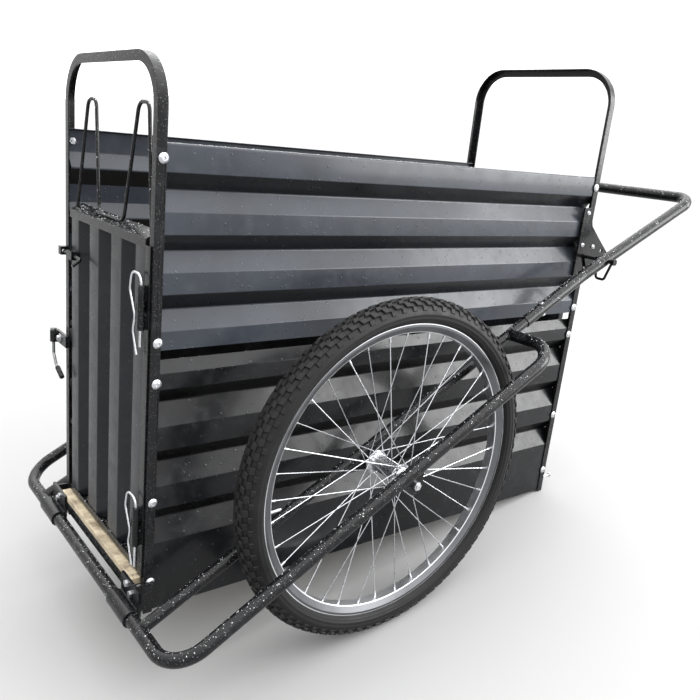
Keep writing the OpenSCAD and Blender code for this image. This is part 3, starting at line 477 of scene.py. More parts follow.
def alloy_finish(name, colour, rough):
    """Rolled rim: fine lines that run round the wheel, and lips polished bright."""
    f = Finish(name)
    away, across = f.from_axle()
    ring = f.node("ShaderNodeCombineXYZ", {"X": away, "Y": across}).outputs[0]
    lines = f.noise(1500, 2, place=ring)
    film = f.noise(22, 4)
    inner, outer = (f.span(f.math("ABSOLUTE", f.math("SUBTRACT", away, lip)), 0.0007, 0.0016, 1, 0)
                    for lip in LIP_RADII)
    rolled = f.mix(film, tint(colour, 0.82, 0.82, 0.83), tint(colour, 1.05))
    f.put(Metallic=1.0,
          Base_Color=f.mix(f.math("MAXIMUM", inner, outer), rolled, POLISHED),
          Roughness=f.math("ADD", f.span(lines, 0.3, 0.7, rough * 0.7, rough * 1.3),
                           f.span(film, 0.3, 0.7, -0.04, 0.08)),
          Normal=f.bump(lines, 0.00005))
    return f.material


def rubber_finish(name, colour, rough):
    """Tyre rubber: near black side walls with dust on them, and a tread that wear has greyed."""
    f = Finish(name)
    dust = f.span(f.noise(30, 5, 0.65), 0.35, 0.7, 0, 1)
    tread = f.span(f.from_axle()[0], TREAD_FROM, TREAD_FULL, 0, 1)
    shade = f.mix(dust, tint(colour, 0.75), tint(colour, 1.7, 1.68, 1.65))
    wear = f.times(tread, f.span(dust, 0, 1, 0.1, 0.4))
    f.put(Base_Color=f.mix(wear, shade, WORN),
          Roughness=f.span(dust, 0, 1, rough - 0.08, rough + 0.12),
          Specular_IOR_Level=0.22,
          Normal=f.bump(f.noise(700, 3), 0.00012, under=f.bump(f.drops(0.0032, 0.18), 0.0005)))
    return f.material


def plywood_finish(name, light, dark):
    """Wet, dirty plywood: grain along the board, plies on its edges and stains."""
    f = Finish(name)
    local = f.node("ShaderNodeMapping", {"Vector": f.place, "Location": tuple(FROM_BOX.translation),
                   "Rotation": tuple(FROM_BOX.to_euler())}).outputs[0]
    along = f.node("ShaderNodeMapping", {"Vector": local, "Scale": (3, 60, 60)}).outputs[0]
    grain = f.node("ShaderNodeTexNoise", {"Vector": along, "Scale": 4.0, "Detail": 6.0,
                   "Roughness": 0.62, "Distortion": 0.6}).outputs["Fac"]
    plies = f.node("ShaderNodeTexWave", {"Vector": local, "Scale": 66.0, "Distortion": 0.6,
                   "Detail": 1.0}, bands_direction="Z").outputs["Fac"]
    wood = f.mix(f.span(grain, 0.3, 0.7, 0, 1), tint(dark, 1), tint(light, 1))
    layered = f.mix(f.span(plies, 0.45, 0.6, 0, 0.35), wood, tint(dark, 0.5))
    wet = f.span(f.noise(30, 5, 0.65), 0.44, 0.64, 0, 1)
    f.put(Base_Color=f.mix(f.times(wet, 0.75), layered, SOAKED),
          Roughness=f.span(wet, 0, 1, 0.62, 0.3),
          Normal=f.bump(grain, 0.0004, under=f.bump(f.drops(0.006, 0.3), 0.001)))
    return f.material


def water_finish(name):
    """Clear water with a faint cloud in it."""
    f = Finish(name)
    cloud = f.noise(500, 1)
    f.put(Base_Color=f.mix(cloud, (0.93, 0.95, 0.97, 1), (1, 1, 1, 1)), IOR=1.33,
          Transmission_Weight=0.75, Roughness=f.span(cloud, 0.3, 0.7, 0.0, 0.03))
    return f.material


def floor_finish(name, colour):
    """Matt studio floor."""
    f = Finish(name)
    f.put(Base_Color=f.mix(f.noise(1.3, 2), tint(colour, 0.99), tint(colour, 1)), Roughness=0.8,
          Specular_IOR_Level=0.2)
    return f.material


def finish(name):
    """The named finish, made once from the settings."""
    made = bpy.data.materials.get(name)
    if made:
        return made
    s = bpy.context.scene.cart_finishes

    def sheet_coat(colour):
        return lambda n: coat_finish(n, colour, s.sheet_roughness, s.sheet_gloss, s.sheet_drop,
                                     **SHEET_COAT)

    makers = {
        "black tube coat": lambda n: coat_finish(n, s.tube_colour, s.tube_roughness, s.tube_gloss,
                                                 s.tube_drop, **TUBE_COAT),
        "black sheet coat": sheet_coat(s.sheet_colour),
        "splashed sheet coat": sheet_coat(s.low_shade_colour),
        "gate coat": sheet_coat(s.gate_colour),
        "bright zinc": lambda n: metal_finish(n, s.zinc_colour, 0.3),
        "bright spoke steel": lambda n: metal_finish(n, s.spoke_colour, 0.24, 0.08, 2200, 0.1),
        "dull zinc": lambda n: metal_finish(n, s.dull_colour, 0.42, 0.22, 1100, 0.35),
        "rim alloy": lambda n: alloy_finish(n, s.rim_colour, 0.34),
        "tyre rubber": lambda n: rubber_finish(n, s.rubber_colour, 0.58),
        "wet plywood": lambda n: plywood_finish(n, s.wood_light, s.wood_dark),
        "water": water_finish,
        "studio floor": lambda n: floor_finish(n, s.floor_colour),
    }
    return makers[name](name)


# ---------- Settings ----------


def setting(prop, **kind):
    """Makes settings of one kind, each from its name, its description and its default."""
    return lambda title, about, value: prop(name=title, description=about, default=value, **kind)


colour_setting = setting(bpy.props.FloatVectorProperty, size=3, min=0, max=1, subtype="COLOR")
place_setting = setting(bpy.props.FloatVectorProperty, size=3, subtype="TRANSLATION")
shift_setting = setting(bpy.props.FloatVectorProperty, size=2)
share_setting = setting(bpy.props.FloatProperty, min=0, max=1, subtype="FACTOR")
length_setting = setting(bpy.props.FloatProperty, unit="LENGTH")
turn_setting = setting(bpy.props.FloatProperty, subtype="ANGLE")
lens_setting = setting(bpy.props.FloatProperty, unit="CAMERA")
strength_setting = setting(bpy.props.FloatProperty, min=0)
power_setting = setting(bpy.props.FloatProperty, min=0, unit="POWER")
count_setting = setting(bpy.props.IntProperty, min=40, max=140)


class CartFinishes(bpy.types.PropertyGroup):
    """Colours and gloss of the cart's finishes."""

    tube_colour: colour_setting("Tube coat", "Powder coat of the tubes, frames and fittings",
                                (0.0045, 0.0047, 0.0053))
    tube_gloss: share_setting("Tube gloss", "Shine of the tubes", 0.15)
    tube_roughness: share_setting("Tube roughness", "Blur of the tubes' shine", 0.24)
    tube_drop: length_setting("Tube drops", "Spacing of water on tubes", 0.0034)
    sheet_colour: colour_setting("Sheet coat", "Paint of the upper side panels",
                                 (0.0225, 0.026, 0.0325))
    gate_colour: colour_setting("Gate coat", "Paint of the two gates", (0.0105, 0.0115, 0.0135))
    # Painted shade: the lower panels are painted far darker than the upper ones
    low_shade_colour: colour_setting("Lower sheet coat", "Paint of the lower side panels, which splashes "
                               "wash clean", (0.0036, 0.0039, 0.0046))
    sheet_gloss: share_setting("Sheet gloss", "Shine of the sheets", 0.18)
    sheet_roughness: share_setting("Sheet roughness", "Blur of the sheets' shine", 0.32)
    sheet_drop: length_setting("Sheet drops", "Spacing of water on sheets", 0.007)
    zinc_colour: colour_setting("Zinc", "Bolts, nuts, pins and hooks", (0.56, 0.57, 0.59))
    spoke_colour: colour_setting("Spoke steel", "Spokes, nipples and hubs", (0.5, 0.51, 0.53))
    dull_colour: colour_setting("Dull zinc", "Hinge leaves", (0.22, 0.225, 0.23))
    rim_colour: colour_setting("Rim alloy", "Rims", (0.13, 0.133, 0.14))
    rubber_colour: colour_setting("Rubber", "Tyres", (0.0035, 0.0035, 0.0037))
    wood_light: colour_setting("Wood light", "Light grain of the floor board", (0.56, 0.49, 0.36))
    wood_dark: colour_setting("Wood dark", "Dark grain of the floor board", (0.33, 0.26, 0.17))
    floor_colour: colour_setting("Floor", "Studio floor", (0.27, 0.27, 0.27))


class CartShapes(bpy.types.PropertyGroup):
    """Sizes of what is built over the construction model."""

    fold: length_setting("Fold radius", "Radius of the folds in sheets", 4 * MM)
    sheet: length_setting("Sheet thickness", "Thickness of the sheets", 1.2 * MM)
    edge: length_setting("Edge radius", "Rounding of cut steel edges", 0.7 * MM)
    lug: length_setting("Lug height", "Height of the tyre's tread blocks", 4.2 * MM)
    pitch_count: count_setting("Tread pitches", "Repeats of the tread round a tyre", 84)
    bead: length_setting("Weld bead", "Radius of a weld bead", 2.3 * MM)
    drop: length_setting("Largest drop", "Radius of the largest drop", 1.7 * MM)


class CartStage(bpy.types.PropertyGroup):
    """Camera and lights."""

    eye: place_setting("Camera", "Place of the camera", (-1.0348, -1.2431, 1.0373))
    heading: turn_setting("Heading", "Turn of the camera about upright", math.radians(-35.70))
    pitch: turn_setting("Pitch", "How far the camera looks down", math.radians(21.45))
    roll: turn_setting("Roll", "Roll of the camera", math.radians(-1.69))
    lens: lens_setting("Lens", "Focal length", 38.56)
    shift: shift_setting("Shift", "Lens shift", (0.02616, 0.00969))
    sky: strength_setting("Sky", "Strength of the white light overhead", 5.4)
    skyline: strength_setting("Skyline", "Strength of the light from low down", 1.95)
    front: share_setting("Front", "Share of the surround's light that comes from ahead of the cart",
                         0.55)
    key: power_setting("Key light", "Power of the large soft light", 225.0)
    key_place: place_setting("Key place", "Place of the large soft light", (2.9, -2.6, 1.4))
    key_size: length_setting("Key size", "Side of the large soft light", 2.3)


# ---------- Sheets ----------

SHEET_NODES = ("upper_panel_near", "upper_panel_far", "lower_panel_near", "lower_panel_far")
# Points this close to a panel's end lie on it
END_SLICE = 1e-4
# Corners closer than this are the two faces of one fold
FACE_GAP = 2 * MM
# A top edge wider than this is folded over
TOP_FOLD = 3 * MM
SHEET_CREASE = 0.6
PANEL_PARTS = 24
GATE_PARTS = 12


def panel_line(node, side):
    """Outer face of a side panel, in the box's frame, and where the panel starts and ends.

    The face is a list of (distance out, height) points from the top down."""
    points = [FROM_BOX @ v.co for v in NODES[node].data.vertices]
    first = min(p.x for p in points)
    last = max(p.x for p in points)
    levels = {}
    for p in points:
        if p.x < first + END_SLICE:
            levels.setdefault(round(p.z, 5), []).append(p.y * side)
    heights = sorted(levels, reverse=True)
    line = [Vector((max(levels[z]), z)) for i, z in enumerate(heights)
            if i == 0 or heights[i - 1] - z > FACE_GAP]
    top = levels[heights[0]]
    if max(top) - min(top) > TOP_FOLD:
        line.insert(0, Vector((min(top), heights[0])))
    return line, first, last


def side_panels():
    shapes = bpy.context.scene.cart_shapes
    for node in SHEET_NODES:
        side = SIDES[node.rsplit("_", 1)[1]]
        line, first, last = panel_line(node, side)
        outline = thick(rounded(line, shapes.fold), -shapes.sheet)
        points, faces = swept(outline, first, last, PANEL_PARTS,
                              lambda p, x: BOX @ Vector((x, side * p.x, p.y)))
        # Painted shade: the lower panels get a far darker copy of the sheet paint
        coat = "splashed sheet coat" if node.startswith("lower") else "black sheet coat"
        new_piece("sheet_" + node, points, faces, "box", finish(coat), "black_sheet",
                  SHEET_CREASE, replaces=(node,))


def gate_line(node, facing):
    """Outer face of a gate's sheet as (distance out, place across) points, and its low and high."""
    points = [FROM_BOX @ v.co for v in NODES[node].data.vertices]
    columns = {}
    for p in points:
        columns.setdefault(round(p.y, 5), []).append(p.x * facing)
    ways = sorted(columns)
    line = []
    for i, y in enumerate(ways):
        near_edge = i > 0 and y - ways[i - 1] < FACE_GAP and y < 0
        far_edge = i < len(ways) - 1 and ways[i + 1] - y < FACE_GAP and y > 0
        if not near_edge and not far_edge:
            line.append(Vector((min(columns[y]), y)))
    back = max(columns[ways[0]])
    line = [Vector((back, ways[0]))] + line + [Vector((back, ways[-1]))]
    return line, min(p.z for p in points), max(p.z for p in points)


def gate_sheets():
    shapes = bpy.context.scene.cart_shapes
    for end, facing in (("front", 1), ("rear", -1)):
        node = end + "_gate"
        line, low, high = gate_line(node, facing)
        outline = thick(rounded(line, shapes.fold), -shapes.sheet)
        points, faces = swept(outline, low, high, GATE_PARTS,
                              lambda p, z: BOX @ Vector((facing * p.x, p.y, z)))
        new_piece("sheet_" + node, points, faces, node + "_leaf", finish("gate coat"),
                  "black_sheet", SHEET_CREASE, replaces=(node,))


# ---------- Wheels ----------

# Rows of tread blocks: lean from the middle of the tread in degrees, start in pitches, half length
# and half width in mm, and how far the block is skewed
TREAD_ROWS = ((0.0, 0.0, 5.4, 4.4, 0.0), (20.0, 0.5, 5.6, 4.2, 0.35), (-20.0, 0.5, 5.6, 4.2, -0.35),
              (41.0, 0.08, 6.2, 4.3, -0.3), (-41.0, 0.08, 6.2, 4.3, 0.3),
              (62.0, 0.58, 5.2, 4.6, 0.1), (-62.0, 0.58, 5.2, 4.6, -0.1))
TREAD_CREASE = 0.5
# The casing: its cross sections round the wheel, and how far each runs to either side and in what
# steps, in degrees of lean
CASING_TURNS = 168
CASING_EDGE, CASING_STEP = 140, 2.8
# Side wall: the lean where it starts, over how much it swells, and how far inside the tread's top
# it stays; its ridges' leans, half waves and depth; and the lean from which it draws in to the rim,
# with how much it does so a degree
WALL_FROM, WALL_BAND, WALL_INSIDE = 52, 34, 1.4 * MM
RIDGES_FROM, RIDGES_TO, RIDGE_WAVES, RIDGE_DEPTH = 84, 128, 5, 0.35 * MM
DRAW_FROM, DRAW_RATE = 118, 0.11 * MM

# Outline of a hub in mm: place along the axle, away from the box, and radius
HUB_PROFILE = ((-45.8, 6), (-45.8, 16), (-45.6, 22), (-45, 23.6), (-44, 24), (-43, 23.4),
               (-42.2, 21), (-40.5, 17), (-37, 15.3), (-31, 14.6), (-18, 14.1), (2, 14.1),
               (16, 14.6), (19, 15.6), (21.5, 18), (22.6, 22), (23.2, 23.6), (24.4, 24),
               (25.3, 23.2), (25.6, 18), (27, 16), (30.5, 14), (31.4, 12.2), (31.6, 6))
# Places of the two spoke flanges in mm, and the fluted stretch of the barrel with its flutes
OUTER_FLANGE, INNER_FLANGE = 24, -44
FLUTED_FROM, FLUTED_TO = -38 * MM, 15 * MM
FLUTES = 14
FLUTE_DEPTH = 0.55 * MM
HUB_CREASE = 0.7
# From the middle of a flange to the heads on its face, and the stretch of a spoke's foot that
# gives its seat
FLANGE_HALF = 1.6 * MM
FOOT_STRETCH = 4 * MM


def tyre_mesh(centre):
    """Knobbly tyre round centre: a casing with ridged side walls, and rows of tread blocks."""
    shapes = bpy.context.scene.cart_shapes
    low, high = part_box("tyre_near")
    width = (high.y - low.y) / 2
    middle = (high.z - low.z) / 2 - width
    chance = random.Random(7)

    def at(turn, lean, out):
        reach = middle + out * math.cos(lean)
        return centre + Vector((reach * math.cos(turn), out * math.sin(lean),
                                reach * math.sin(turn)))

    def casing(lean):
        a = abs(math.degrees(lean))
        wall = min(max((a - WALL_FROM) / WALL_BAND, 0), 1)
        out = (width - shapes.lug) + wall * (shapes.lug - WALL_INSIDE)
        if RIDGES_FROM < a < RIDGES_TO:
            part = (a - RIDGES_FROM) / (RIDGES_TO - RIDGES_FROM)
            out += RIDGE_DEPTH * math.sin(part * math.pi * RIDGE_WAVES)
        if a > DRAW_FROM:
            out -= (a - DRAW_FROM) * DRAW_RATE
        return out

    def block(turn, lean, long_half, wide_half, skew):
        """A tread block that narrows from its foot in the casing to its bevelled top."""
        grow = 1 + chance.uniform(-0.04, 0.04)
        top = width - (0.2 * MM if abs(lean) < 1 else 0.9 * MM)
        points = []
        for out, size in ((width - shapes.lug - 1 * MM, 1.16), (top - 0.9 * MM, 1.0), (top, 0.84)):
            for u, v in ((-1, -1), (1, -1), (1, 1), (-1, 1)):
                across = v * wide_half * MM * size * grow
                along = u * long_half * MM * size * grow + across * skew
                points.append(at(turn + along / (middle + width), lean + across / width, out))
        return points, grid_faces(3, 4, close_columns=True) + [[8, 9, 10, 11]]

    leans = [math.radians(-CASING_EDGE + CASING_STEP * k)
             for k in range(round(2 * CASING_EDGE / CASING_STEP) + 1)]
    points = [at(turn, lean, casing(lean)) for turn in angles(CASING_TURNS) for lean in leans]
    parts = [(points, grid_faces(CASING_TURNS, len(leans), close_rows=True))]
    pitch = 2 * math.pi / shapes.pitch_count
    for i in range(shapes.pitch_count):
        for lean, start, long_half, wide_half, skew in TREAD_ROWS:
            parts.append(block((i + start) * pitch, math.radians(lean), long_half, wide_half, skew))
    return joined(parts)


def tyres():
    for name in SIDES:
        points, faces = tyre_mesh(wheel_centre(name))
        new_piece("tread_tyre_" + name, points, faces, name + "_wheel", finish("tyre rubber"),
                  "tyre", TREAD_CREASE, replaces=("tyre_" + name,))


def hub_radius(along, radius):
    """The hub's radius at a place along it: a number, or a function of the angle where fluted."""
    if not FLUTED_FROM < along < FLUTED_TO:
        return radius
    return lambda a: radius + FLUTE_DEPTH * math.cos(FLUTES * a)


def spoke_head(points, centre, side):
    """Head and last of the stem of the spoke that has these points, on the hub's flange."""
    foot = min(points, key=lambda p: math.hypot(p.x - centre.x, p.z - centre.z))
    near = [p for p in points if (p - foot).length < FOOT_STRETCH]
    seat = sum(near, Vector()) / len(near)
    outer = (seat.y - centre.y) * side > 0
    flange = centre.y + side * (OUTER_FLANGE if outer else INNER_FLANGE) * MM
    lean = 1 if seat.y > flange else -1
    through = abs(seat.y - flange) + FLANGE_HALF
    profile = [(-0.9 * MM, 0.9 * MM), (-0.5 * MM, 1.2 * MM), (through, 1.2 * MM),
               (through + 0.1 * MM, 2.3 * MM), (through + 0.8 * MM, 2.2 * MM),
               (through + 1.4 * MM, 1.2 * MM)]
    return lathe(profile, seat, Vector((0, -lean, 0)), 10)


def hubs():
    for name, side in SIDES.items():
        centre = wheel_centre(name)
        profile = [(a * MM, hub_radius(a * MM, r * MM)) for a, r in HUB_PROFILE]
        new_piece("turned_hub_" + name, *lathe(profile, centre, Vector((0, side, 0)), 84),
                  name + "_wheel", finish("bright spoke steel"), "zinc", HUB_CREASE,
                  replaces=("hub_" + name,))
        heads = [spoke_head(points, centre, side) for points in islands("spokes_" + name)]
        new_piece("spoke_heads_" + name, *joined(heads), name + "_wheel",
                  finish("bright spoke steel"), "zinc")


# ---------- Fittings ----------

# Height of a bolt's head, and how far below its top its points are looked for
BOLT_HEIGHT = 4.2 * MM
HEAD_SLICE = 3 * MM
BOLT_CREASE = 0.6
# Where a hook's sleeve starts and ends, in mm from the hook's pivot in the box's frame
SLEEVE_KNEE = (0, -16, -56)
SLEEVE_TIP = (0, -52, -72)
# Ribs of a sleeve, where they start, and how much of the sleeve is plain in all
SLEEVE_RIBS = 9
SLEEVE_START, SLEEVE_PLAIN = 10 * MM, 11 * MM
SLEEVE_CREASE = 0.7


def socket_bolt(centre, way, base, flange_r, shank):
    """Low round bolt head with a hexagon socket; the shank runs the other way."""
    def hexagon(share):
        return lambda a: flange_r * share * (math.cos(math.pi / 6)
                                             / math.cos((a % (math.pi / 3)) - math.pi / 6))

    rings = ((-shank, 2.6 * MM), (-shank + 0.5 * MM, 3 * MM), (0, 3 * MM), (0, flange_r),
             (1.0 * MM, flange_r), (1.5 * MM, flange_r * 0.93), (2.6 * MM, flange_r * 0.8),
             (BOLT_HEIGHT - 0.5 * MM, flange_r * 0.62), (BOLT_HEIGHT, flange_r * 0.46),
             (BOLT_HEIGHT - 0.1 * MM, hexagon(0.36)), (BOLT_HEIGHT - 2.2 * MM, hexagon(0.33)))
    return lathe([(base + along, radius) for along, radius in rings], centre, way, 24)


def socket_bolts():
    """Socket bolts in place of the plain heads of the panel and gusset bolts."""
    for node in ("panel_bolts", "gusset_bolts"):
        parts = []
        for points in islands(node):
            side = 1 if points[0].y > 0 else -1
            reach = [p.y * side for p in points]
            head = [p for p in points if p.y * side > max(reach) - HEAD_SLICE]
            middle = sum(head, Vector()) / len(head)
            centre = Vector((middle.x, 0, middle.z))
            base = max(reach) - BOLT_HEIGHT
            wide = max(math.hypot(p.x - centre.x, p.z - centre.z) for p in head)
            parts.append(socket_bolt(centre, Vector((0, side, 0)), base, wide, base - min(reach)))
        new_piece("socket_" + node, *joined(parts), "box", finish("bright zinc"), "zinc",
                  BOLT_CREASE, replaces=(node,))


def hook_sleeves():
    """Ribbed black sleeves on the thick ends of the two latch hooks."""
    for end in ("front", "rear"):
        pivot = FROM_BOX @ Vector(JOINTS[end + "_hook_turn"]["pos_m"])
        knee = BOX @ (pivot + Vector(SLEEVE_KNEE) * MM)
        tip = BOX @ (pivot + Vector(SLEEVE_TIP) * MM)
        way = (tip - knee).normalized()
        length = (tip - knee).length
        step = (length - SLEEVE_PLAIN) / SLEEVE_RIBS
        profile = [(9 * MM, 3.1 * MM), (9 * MM, 4.4 * MM), (9.4 * MM, 4.9 * MM)]
        for k in range(SLEEVE_RIBS):
            at = SLEEVE_START + (length - SLEEVE_PLAIN) * k / SLEEVE_RIBS
            profile += [(at, 5.0 * MM), (at + step * 0.55, 5.0 * MM), (at + step * 0.7, 4.7 * MM),
                        (at + step * 0.9, 4.7 * MM)]
        profile += [(length, 4.9 * MM), (length + 0.9 * MM, 4.0 * MM),
                    (length + 1.3 * MM, 2.2 * MM)]
        new_piece("sleeve_hook_" + end, *lathe(profile, knee, way, 24), end + "_hook",
                  finish("black tube coat"), "black_steel", SLEEVE_CREASE)


# ---------- Welds ----------

# The chassis in mm: radii of the loop and the inner tubes, how far out each runs, where up the
# slope the rear cross piece lies, and how far a bead stands off the tube
LOOP_R, INNER_R = 12.3, 10.7
LOOP_Y, INNER_Y = 382, 259
REAR_CROSS = 918
STAND_OFF = 0.2
# The axle plates in mm: from a tube's middle to each face, and half the length of their welds
PLATE_FACES = (-3.4, 3.4)
PLATE_HALF = 34
# The box in mm: place (x, z) of the seam of the pivot brackets and its stretch across, and the
# welded edges of the hinge strip
BRACKET_SEAM = (-20.4, 27.6)
BRACKET_SPAN = range(153, 227, 5)
STRIP_EDGES = (-3.4, 0)
STRIP_Y = -175.3
STRIP_SPAN = range(90, 160, 4)
# Points of the seam round a tube
SEAM_POINTS = 48


def tube_seams(side, radius):
    """Beads round both ends of an inner tube, on the crossbar and on the rear cross piece."""
    saddle, cope = [], []
    for a in angles(SEAM_POINTS):
        z = INNER_R * math.sin(a)
        out = INNER_Y + (INNER_R + STAND_OFF) * math.cos(a)
        along = math.sqrt(LOOP_R ** 2 - z * z)
        saddle.append(SLOPE @ Vector((along * MM, side * out * MM, z * MM)))
        z = LOOP_R * math.sin(a)
        out = INNER_Y + math.sqrt(max(INNER_R ** 2 - z * z, 0))
        along = REAR_CROSS + (LOOP_R + STAND_OFF) * math.cos(a)
        cope.append(SLOPE @ Vector((along * MM, side * out * MM, z * MM)))
    return [bead(saddle, radius * 0.8, 3 + side, True), bead(cope, radius * 0.7, 8 + side, True)]


def weld_beads():
    """Beads under the axle plates, round the inner tubes, on the brackets and the hinge strip."""
    radius = bpy.context.scene.cart_shapes.bead
    chassis, box = [], []
    wheel = SLOPE.inverted() @ wheel_centre("near")
    for side in SIDES.values():
        for out, tube_r in ((LOOP_Y, LOOP_R), (INNER_Y, INNER_R)):
            for face in PLATE_FACES:
                path = [SLOPE @ Vector((wheel.x + k * MM, side * (out + face) * MM,
                                        -(tube_r - 0.1) * MM))
                        for k in range(-PLATE_HALF, PLATE_HALF + 1, 4)]
                chassis.append(bead(path, radius * 0.8, out + int(face) + side))
        chassis += tube_seams(side, radius)
        x, z = BRACKET_SEAM
        path = [BOX @ Vector((x * MM, side * y * MM, z * MM)) for y in BRACKET_SPAN]
        box.append(bead(path, radius * 0.8, 20 + side))
        # The hinge strip is on the near side only, so its edges get a second pass of weld
        for x in STRIP_EDGES:
            path = [BOX @ Vector((x * MM, STRIP_Y * MM, z * MM)) for z in STRIP_SPAN]
            box.append(bead(path, radius * 0.5, 30 + side))
    for body, parts in (("chassis", chassis), ("box", box)):
        new_piece("weld_beads_" + body, *joined(parts), body, finish("black tube coat"),
                  "black_steel")


# ---------- Water ----------

# How far up a face has to look to hold drops, as the least z of its normal
SLOPED, LEVEL = 0.05, 0.6
# For each piece of water its body and, for each node that it lies on, the count of drops, the
# slope that holds them, the smallest and largest as shares of the largest drop, and the seed
WATER = {
    "water_chassis": ("chassis", (("outer_loop", 1900, SLOPED, (0.3, 0.95), 10),
                                  ("inner_tube_near", 700, SLOPED, (0.3, 0.95), 15),
                                  ("inner_tube_far", 350, SLOPED, (0.3, 0.95), 14),
                                  ("handle", 1500, SLOPED, (0.3, 0.95), 6))),
    "water_box": ("box", (("front_frame", 120, LEVEL, (0.3, 0.8), 16),
                          ("rear_frame", 90, LEVEL, (0.3, 0.8), 15),
                          ("upper_panel_near", 420, LEVEL, (0.25, 0.7), 27),
                          ("upper_panel_far", 240, LEVEL, (0.25, 0.7), 26),
                          ("lower_panel_near", 160, LEVEL, (0.25, 0.7), 27),
                          ("lower_panel_far", 60, LEVEL, (0.25, 0.7), 26))),
    "water_front_gate": ("front_gate_leaf", (("front_gate_rails", 260, LEVEL, (0.4, 1.0), 5),
                                             ("front_gate_handle", 90, SLOPED, (0.3, 0.7), 6))),
}
# Rings of a drop from its foot up: height and radius as shares of the drop's
DROP_RINGS = ((-0.05, 1.0), (0.45, 0.86), (0.85, 0.5))
DROP_SIDES = 7
# A face with less than half this area is a sliver and holds no drop
SLIVER = 1e-12


def drop_mesh(place, normal, radius, rise, chance):
    """Low dome of water on a surface."""
    side, other = square_to(normal)
    stretch = chance.uniform(0.85, 1.2)
    points = [place + normal * (height * rise * radius)
              + (side * math.cos(a) * stretch + other * math.sin(a)) * share * radius
              for height, share in DROP_RINGS for a in angles(DROP_SIDES)]
    top = len(points)
    points.append(place + normal * rise * radius)
    last = top - DROP_SIDES
    faces = grid_faces(len(DROP_RINGS), DROP_SIDES, close_columns=True) + [list(range(DROP_SIDES))]
    faces += [[last + k, last + (k + 1) % DROP_SIDES, top] for k in range(DROP_SIDES)]
    return points, faces


def scatter(mesh, count, least, sizes, seed):
    """Drops on the triangles of a mesh that look up enough; the flatter they lie, the more."""
    largest = bpy.context.scene.cart_shapes.drop
    chance = random.Random(seed)
    mesh.calc_loop_triangles()
    chosen, weights = [], []
    for t in mesh.loop_triangles:
        a, b, c = (mesh.vertices[i].co for i in t.vertices)
        normal = (b - a).cross(c - a)
        if normal.length < SLIVER:
            continue
        unit = normal.normalized()
        if unit.z > least:
            chosen.append((a, b, c, unit))
            weights.append(normal.length * (unit.z - least))
    parts = []
    for a, b, c, normal in chance.choices(chosen, weights, k=count):
        u, v = chance.random(), chance.random()
        if u + v > 1:
            u, v = 1 - u, 1 - v
        radius = largest * (sizes[0] + (sizes[1] - sizes[0]) * chance.random() ** 2)
        parts.append(drop_mesh(a + (b - a) * u + (c - a) * v, normal, radius,
                               chance.uniform(0.5, 0.75), chance))
    return parts


def water_drops():
    for name, (body, places) in WATER.items():
        parts = []
        for node, count, least, sizes, seed in places:
            piece = bpy.data.objects["sheet_" + node] if node in SHEET_NODES else NODES[node]
            parts += scatter(piece.data, count, least, sizes, seed)
        new_piece(name, *joined(parts), body, finish("water"), "black_steel")


# ---------- Studio ----------

FLOOR_RINGS = (1.5, 3, 6, 12, 30)
FLOOR_SIDES = 64
# The floor lies this much below the wheels
FLOOR_GAP = 0.0004
# Where the surround's light passes from the skyline to overhead, by the z of the way it comes
# from, and from the front to the rest, by the x
SKY_BAND = (0.25, 0.75)
FRONT_BAND = (-0.5, 0.3)
# What the large soft light faces, and the width of the camera's sensor
LAMP_AIM = Vector((0, 0, 0.5))
SENSOR = 36


def studio_floor():
    mesh = bpy.data.meshes.new("studio_floor")
    points = [Vector((r * math.cos(a), r * math.sin(a), -FLOOR_GAP))
              for r in FLOOR_RINGS for a in angles(FLOOR_SIDES)]
    faces = grid_faces(len(FLOOR_RINGS), FLOOR_SIDES, close_columns=True)
    mesh.from_pydata(points, [], faces + [list(range(FLOOR_SIDES))])
    mesh.materials.append(finish("studio floor"))
    floor = bpy.data.objects.new("studio_floor", mesh)
    bpy.context.scene.collection.objects.link(floor)


def surround(stage):
    """White light all round: strong overhead, weak at the skyline and weaker from the front."""
    world = bpy.data.worlds.new("studio")
    bpy.context.scene.world = world
    world.use_nodes = True
    w = Shading(world.node_tree)
    shader = w.tree.nodes["Background"]
    shader.inputs["Color"].default_value = (1, 1, 1, 1)
    way = w.node("ShaderNodeTexCoord").outputs["Generated"]
    parts = w.node("ShaderNodeSeparateXYZ", {0: way}).outputs
    height = w.span(parts["Z"], *SKY_BAND, stage.skyline, stage.sky,
                    interpolation_type="SMOOTHSTEP")
    ahead = w.span(parts["X"], *FRONT_BAND, stage.front, 1.0, interpolation_type="SMOOTHSTEP")
    w.feed(shader.inputs["Strength"], w.times(height, ahead))


def key_lamp(stage):
    """Large soft light, low and from behind the cart on the near side."""
    light = bpy.data.lights.new("key", "AREA")
    light.size = stage.key_size
    light.energy = stage.key
    lamp = bpy.data.objects.new("key", light)
    lamp.visible_camera = False
    bpy.context.scene.collection.objects.link(lamp)
    lamp.location = stage.key_place
    way = LAMP_AIM - Vector(stage.key_place)
    lamp.rotation_euler = way.to_track_quat("-Z", "Y").to_euler()


def set_camera(stage):
    camera = bpy.data.cameras.new("camera")
    camera.lens = stage.lens
    camera.sensor_width = SENSOR
    camera.shift_x, camera.shift_y = stage.shift
    seat = bpy.data.objects.new("camera", camera)
    bpy.context.scene.collection.objects.link(seat)
    turn = (Matrix.Rotation(stage.heading, 4, "Z")
            @ Matrix.Rotation(math.pi / 2 - stage.pitch, 4, "X")
            @ Matrix.Rotation(stage.roll, 4, "Z"))
    seat.matrix_world = Matrix.Translation(stage.eye) @ turn
    bpy.context.scene.camera = seat


# ---------- Operators ----------


